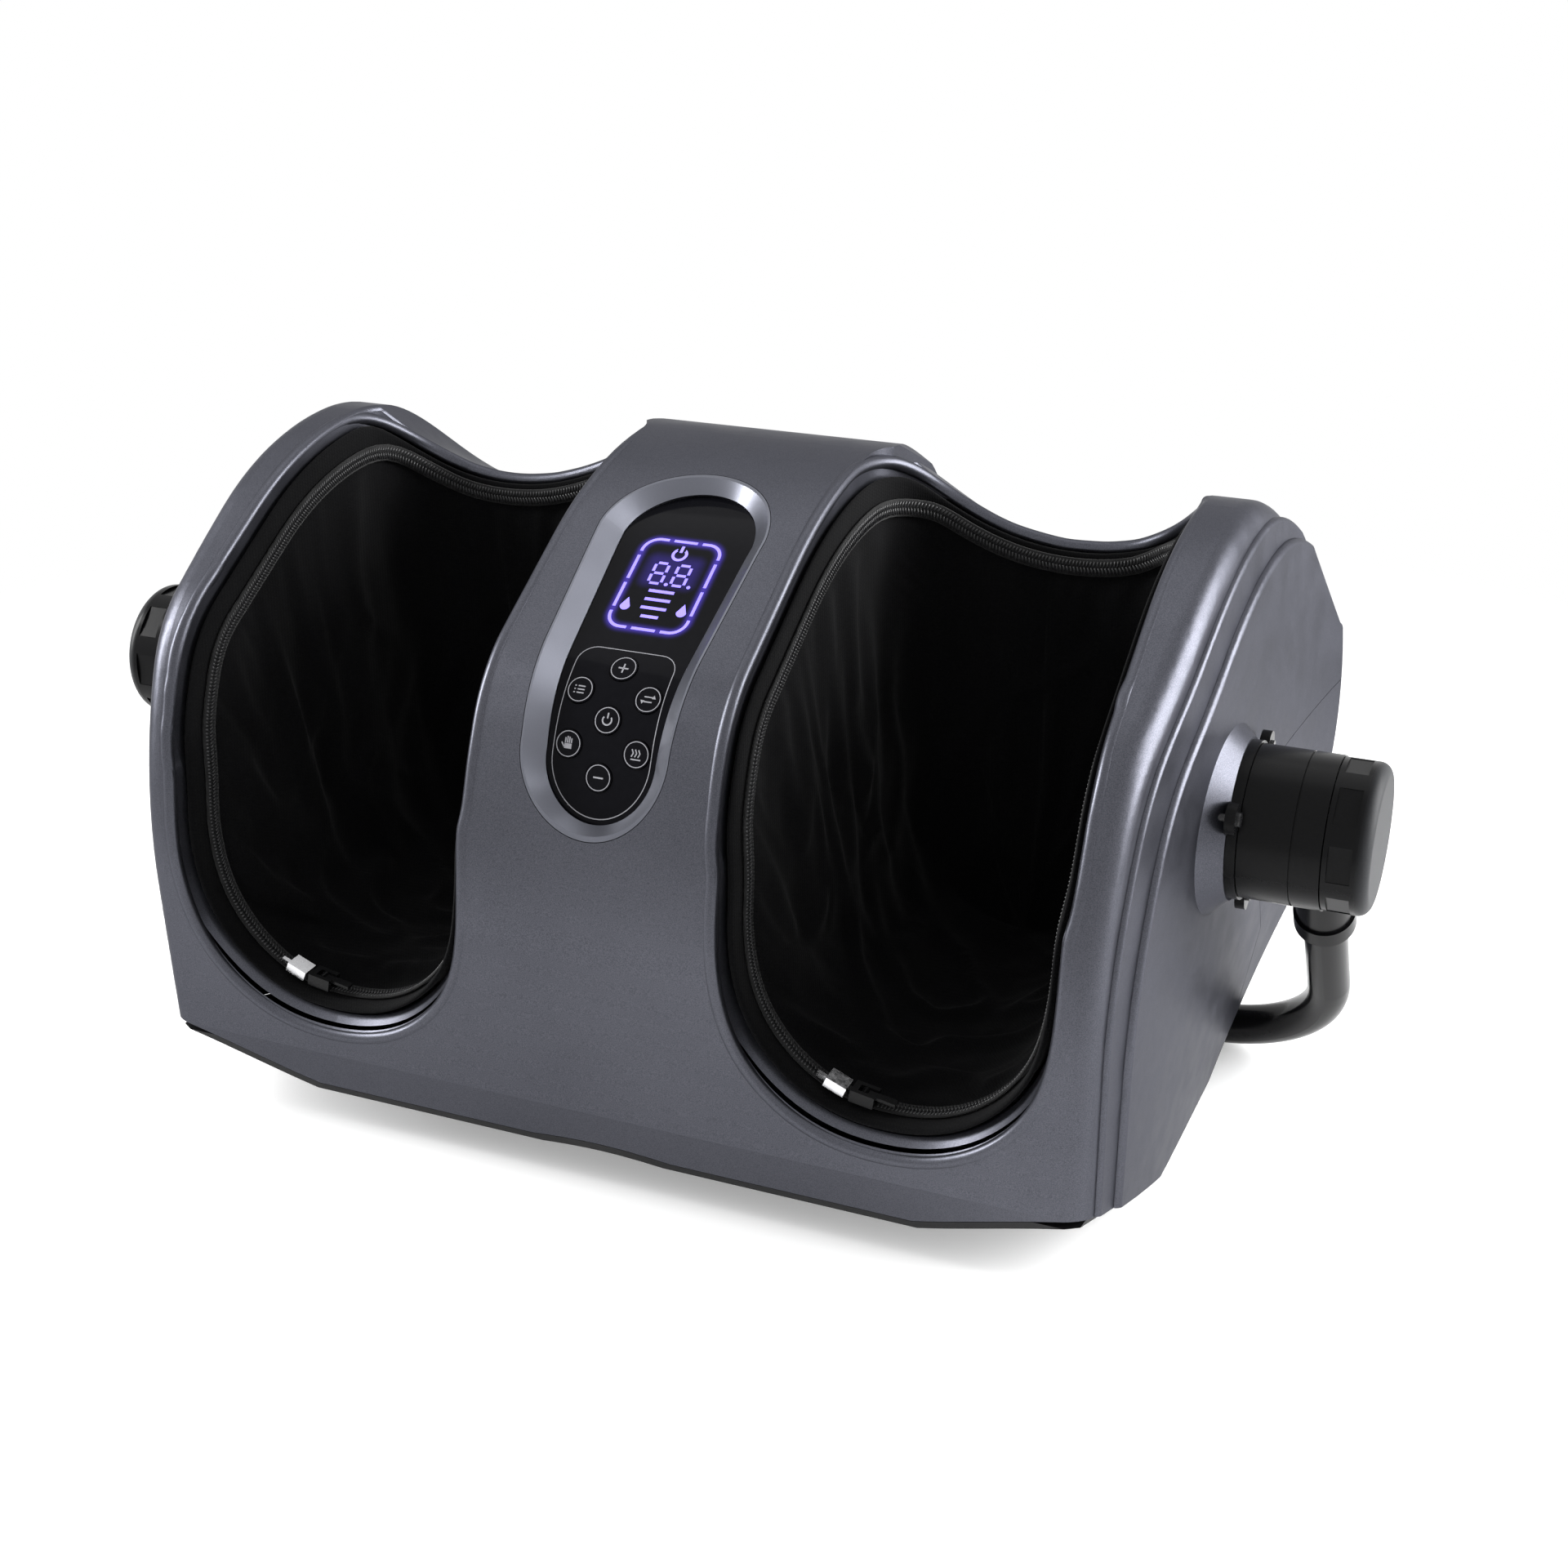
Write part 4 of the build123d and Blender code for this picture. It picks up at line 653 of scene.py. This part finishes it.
def rimBead(side):
    word = "left" if side < 0 else "right"
    spec = beadSpec
    shell = tree("front_shell")
    eye = eyePoint(side)
    edges, turns = rimEdges()
    spots = []
    for number in range(spec["samples"]):
        turn = 2 * pi * number / spec["samples"]

        def hitAt(lean):
            return shell.ray_cast(eye, rayAt(turn, lean), spec["reach"])

        low = scanSpec["mouth"]       # from the open middle of the well outwards
        while hitAt(low)[0] is None:
            low -= spec["step"]
        high = low + spec["step"]
        for _ in range(spec["halvings"]):
            middle = (low + high) / 2
            if hitAt(middle)[0] is None:
                high = middle
            else:
                low = middle
        spot, out = hitAt(low)[:2]
        if out.dot(eye - spot) < 0:
            out = -out
        _, k, _ = edges.find(spot)
        first, second, lean, _ = turns[k]
        share = (spot - first).dot(second - first) / max(1e-12, (second - first).length_squared)
        close = first.lerp(second, min(1.0, max(0.0, share)))
        if (close - spot).length < spec["snap"]:
            spot, out = close, lean
        spots.append(spot - out * spec["sink"])
    count = len(spots)
    for _ in range(spec["mend"]):       # a spot that stands off its neighbours goes back between them
        for k in range(count):
            before, after = spots[k - 2], spots[(k + 2) % count]
            middle = (before + after) / 2
            if (spots[k] - middle).length > spec["off"] + (after - before).length * spec["offShare"]:
                spots[k] = middle
    longest = max((spots[k] - spots[k - 1]).length for k in range(count))
    for _ in range(spec["smooth"]):
        spots = [(spots[k - 1] + spots[k] * 2 + spots[(k + 1) % count]) / 4 for k in range(count)]
    print("rim", word, "longest step", round(longest * 1000, 1), "mm")
    bead = tubeMesh(spots, spec["radius"])
    return addPiece("rimBead_" + word, bead, finishes["shell_silver"], "housing")


for side in (-1, 1):
    wellLining(side)
    coilZip(side)
    rimBead(side)
print("linings, zips and rims made")


# ---------- prints on the keys and round the keypad

keySpec = {"ring": 0.0051, "line": 0.00034, "lift": 0.00003, "thin": 0.00004, "stroke": 0.00062}


def keyPlace(name):
    piece = nodes[name]
    joint = [j for j in frame["joints"] if j["child"] == name][0]
    out = -Vector(joint["axis"]).normalized()
    across = Vector((1, 0, 0))
    up = out.cross(across)
    points = [v.co for v in piece.data.vertices]
    top = max(p.dot(out) for p in points)
    cap = [p for p in points if p.dot(out) > top - 1e-5]
    x = (min(p.dot(across) for p in cap) + max(p.dot(across) for p in cap)) / 2
    v = (min(p.dot(up) for p in cap) + max(p.dot(up) for p in cap)) / 2
    centre = across * x + up * v + out * (top + keySpec["lift"])
    turn = Matrix((across, up, out)).transposed().to_4x4()
    return Matrix.Translation(centre) @ turn


def flatRing(bm, radius, line, matrix, segments=48):
    made = bmesh.ops.create_circle(bm, cap_ends=False, radius=radius, segments=segments, matrix=matrix)
    verts = made["verts"]
    edges = list({edge for vert in verts for edge in vert.link_edges})
    grown = bmesh.ops.extrude_edge_only(bm, edges=edges)["geom"]
    inner = [g for g in grown if isinstance(g, bmesh.types.BMVert)]
    middle = matrix.translation
    for vert in inner:
        vert.co = middle + (vert.co - middle) * ((radius - line) / radius)
    return verts + inner


def flatBar(bm, x, y, wide, tall, matrix, turn=0.0):
    place = matrix @ Matrix.Translation((x, y, 0)) @ Matrix.Rotation(turn, 4, "Z")
    place = place @ Matrix.Diagonal((wide / 2, tall / 2, 1, 1))
    bmesh.ops.create_grid(bm, x_segments=1, y_segments=1, size=1.0, matrix=place)


def flatTip(bm, x, y, size, matrix, turn=0.0):
    place = matrix @ Matrix.Translation((x, y, 0)) @ Matrix.Rotation(turn, 4, "Z")
    bmesh.ops.create_circle(bm, cap_ends=True, radius=size, segments=3, matrix=place)


def thicken(bm, amount):
    bmesh.ops.recalc_face_normals(bm, faces=bm.faces)
    bmesh.ops.solidify(bm, geom=bm.faces[:], thickness=-amount)


def keyPrint(name, draw):
    bm = bmesh.new()
    place = keyPlace(name)
    flatRing(bm, keySpec["ring"], keySpec["line"], place)
    draw(bm, place, keySpec["stroke"])
    thicken(bm, keySpec["thin"])
    return addPiece(name + "_print", bm, ink, name, smooth=False)


def plusMark(bm, m, s):
    flatBar(bm, 0, 0, 0.0042, s, m)
    flatBar(bm, 0, 0, s, 0.0042, m)


def minusMark(bm, m, s):
    flatBar(bm, 0, 0, 0.0042, s, m)


def powerMark(bm, m, s):
    verts = flatRing(bm, 0.0022, s, m, 28)
    up = m.to_3x3() @ Vector((0, 1, 0))
    right = m.to_3x3() @ Vector((1, 0, 0))
    middle = m.translation
    gone = [v for v in verts if (v.co - middle).dot(up) > 0.0011 and abs((v.co - middle).dot(right)) < 0.0010]
    bmesh.ops.delete(bm, geom=gone, context="VERTS")
    flatBar(bm, 0, 0.0018, s, 0.0022, m)


def modeMark(bm, m, s):
    for row in (-1, 0, 1):
        flatBar(bm, 0.0004, row * 0.0014, 0.0030, s * 0.8, m)
        flatBar(bm, -0.0022, row * 0.0014, s, s * 0.8, m)


def swapMark(bm, m, s):
    for sign in (-1, 1):
        flatBar(bm, 0, sign * 0.0010, 0.0036, s * 0.8, m)
        flatTip(bm, sign * 0.0022, sign * 0.0010, 0.0010, m, 0.0 if sign > 0 else pi)


def handMark(bm, m, s):
    for k, tall in enumerate((0.0020, 0.0026, 0.0024, 0.0019)):
        flatBar(bm, (k - 1.5) * 0.00085, 0.0003 + tall / 2, s * 0.85, tall, m)
    flatBar(bm, 0, -0.0009, 0.0031, 0.0020, m)
    flatBar(bm, -0.0022, -0.0005, s * 0.85, 0.0021, m, 0.6)


def heatMark(bm, m, s):
    for k in (-1, 0, 1):
        x = k * 0.0014
        flatBar(bm, x - 0.0002, 0.0011, s * 0.8, 0.0017, m, 0.45)
        flatBar(bm, x - 0.0002, -0.0003, s * 0.8, 0.0017, m, -0.45)
    flatBar(bm, 0, -0.0020, 0.0042, s * 0.8, m)


keyPrint("key_speed_up", plusMark)
keyPrint("key_speed_down", minusMark)
keyPrint("key_power", powerMark)
keyPrint("key_mode", modeMark)
keyPrint("key_direction", swapMark)
keyPrint("key_manual", handMark)
keyPrint("key_heat", heatMark)

padSpec = {
    "half": 0.0208, "low": -0.034, "high": 0.0105, "round": 0.0075, "line": 0.00034, "lift": 0.00004,
    "thin": 0.00003, "step": 0.0015, "cornerParts": 8, "bottomParts": 32, "above": 0.05,
}


def keypadLine():
    # thin outline round the keys, straight on top and round below, laid on the curved window
    lens = tree("panel_lens")
    p = padSpec
    spot = Vector(panelSpec["spot"])
    up = Vector((0, slope, slope))
    out = Vector((0, -slope, slope))
    bm = bmesh.new()
    corners = []
    for sign, start in ((1, 0), (-1, 90)):
        for step in range(p["cornerParts"] + 1):
            angle = radians(start + step * 90 / p["cornerParts"])
            x = sign * (p["half"] - p["round"]) + p["round"] * cos(angle)
            corners.append((x, p["high"] - p["round"] + p["round"] * sin(angle)))
    for step in range(p["bottomParts"] + 1):
        angle = pi + pi * step / p["bottomParts"]
        corners.append((p["half"] * cos(angle), p["low"] + p["half"] * sin(angle)))
    dense = []
    for k, (x, y) in enumerate(corners):
        nx, ny = corners[(k + 1) % len(corners)]
        parts = max(1, int(sqrt((nx - x) ** 2 + (ny - y) ** 2) / p["step"]))
        dense += [(x + (nx - x) * j / parts, y + (ny - y) * j / parts) for j in range(parts)]
    rows = []
    for k, (x, y) in enumerate(dense):
        bx, by = dense[k - 1]
        ax, ay = dense[(k + 1) % len(dense)]
        size = sqrt((ax - bx) ** 2 + (ay - by) ** 2)
        sx, sy = (ay - by) / size, -(ax - bx) / size
        pair = []
        for sign in (-0.5, 0.5):
            px = x + sx * sign * p["line"]
            py = y + sy * sign * p["line"]
            start = spot + Vector((px, 0, 0)) + up * py + out * p["above"]
            hit = lens.ray_cast(start, -out)[0]
            pair.append(bm.verts.new(hit + out * p["lift"]))
        rows.append(pair)
    for k in range(len(rows)):
        after = rows[(k + 1) % len(rows)]
        bm.faces.new((rows[k][0], rows[k][1], after[1], after[0]))
    thicken(bm, p["thin"])
    return addPiece("keypadLine", bm, ink, "housing", smooth=False)


keypadLine()
print("prints made")


# ---------- floor, light and camera

stageSpec = {"floor": 40.0, "white": 0.94, "lift": 0.30, "near": 0.36, "far": 0.85, "world": 0.42}


def seenDirect(f):
    # 1 for camera, mirror and see-through rays, which get the white background
    ray = f.node("ShaderNodeLightPath")
    both = f.math("MAXIMUM", ray.outputs["Is Camera Ray"], ray.outputs["Is Glossy Ray"])
    return f.math("MAXIMUM", both, ray.outputs["Is Transmission Ray"])


def floorFinish():
    f = Finish("floorWhite", Base_Color=(stageSpec["white"],) * 3, Roughness=0.9, Specular_IOR_Level=0.1)
    x, y, z = f.axes()
    away = f.spread(f.math("SQRT", x * x + y * y), stageSpec["near"], stageSpec["far"])
    white = f.node("ShaderNodeEmission", None, {"Strength": 1.0})
    glow = f.node("ShaderNodeEmission", None, {"Strength": stageSpec["lift"]})
    close = f.node("ShaderNodeAddShader", None, {0: f.shader.outputs[0], 1: glow.outputs[0]})
    seen = f.node("ShaderNodeMixShader", None, {0: away, 1: close.outputs[0], 2: white.outputs[0]})
    pick = f.node("ShaderNodeMixShader", None, {0: seenDirect(f), 1: f.shader.outputs[0], 2: seen.outputs[0]})
    out = [n for n in f.tree.nodes if n.type == "OUTPUT_MATERIAL"][0]
    f.tree.links.new(pick.outputs[0], out.inputs[0])
    return f


bm = bmesh.new()
bmesh.ops.create_grid(bm, x_segments=1, y_segments=1, size=stageSpec["floor"])
mesh = bpy.data.meshes.new("floor")
bm.to_mesh(mesh)
bm.free()
floor = bpy.data.objects.new("floor", mesh)
bpy.context.scene.collection.objects.link(floor)
mesh.materials.append(floorFinish().material)

world = bpy.data.worlds.new("studio")
bpy.context.scene.world = world
world.use_nodes = True
sky = world.node_tree.nodes["Background"]
ends = world.node_tree.nodes["World Output"]
rays = world.node_tree.nodes.new("ShaderNodeLightPath")
white = world.node_tree.nodes.new("ShaderNodeBackground")
pick = world.node_tree.nodes.new("ShaderNodeMixShader")
for shade, strength in ((sky, stageSpec["world"]), (white, 1.0)):
    shade.inputs[0].default_value = (1.0, 1.0, 1.0, 1.0)
    shade.inputs[1].default_value = strength
direct = world.node_tree.nodes.new("ShaderNodeMath")
direct.operation = "SUBTRACT"       # all but the rays that light matt surfaces
direct.inputs[0].default_value = 1.0
world.node_tree.links.new(rays.outputs["Is Diffuse Ray"], direct.inputs[1])
world.node_tree.links.new(direct.outputs[0], pick.inputs[0])
world.node_tree.links.new(sky.outputs[0], pick.inputs[1])
world.node_tree.links.new(white.outputs[0], pick.inputs[2])
world.node_tree.links.new(pick.outputs[0], ends.inputs[0])

lampSpec = {
    "top": {"at": (-0.3, 0.5, 1.9), "aim": (0.0, 0.0, 0.1), "size": (1.6, 1.1), "power": 4.0},
    "left": {"at": (-1.7, -0.5, 0.9), "aim": (0.0, 0.0, 0.15), "size": (0.5, 1.3), "power": 50.0},
    "right": {"at": (1.4, 0.5, 0.5), "aim": (0.1, 0.0, 0.15), "size": (1.1, 1.3), "power": 58.0},
}
for name, spec in lampSpec.items():
    light = bpy.data.lights.new("lamp_" + name, "AREA")
    light.shape = "RECTANGLE"
    light.size, light.size_y = spec["size"]
    light.energy = spec["power"]
    lamp = bpy.data.objects.new("lamp_" + name, light)
    lamp.location = spec["at"]
    lamp.rotation_euler = (Vector(spec["aim"]) - Vector(spec["at"])).to_track_quat("-Z", "Y").to_euler()
    bpy.context.scene.collection.objects.link(lamp)

cameraSpec = {"at": (0.3743, -0.8424, 0.5282), "lean": 66.5, "turn": 22.6, "lens": 52.5}
eyeData = bpy.data.cameras.new("camera")
eyeData.lens = cameraSpec["lens"]
eyeData.sensor_width = 36.0
camera = bpy.data.objects.new("camera", eyeData)
camera.location = cameraSpec["at"]
camera.rotation_euler = (radians(cameraSpec["lean"]), 0.0, radians(cameraSpec["turn"]))
bpy.context.scene.collection.objects.link(camera)
bpy.context.scene.camera = camera
bpy.context.scene.view_settings.view_transform = "Standard"
print("stage set")
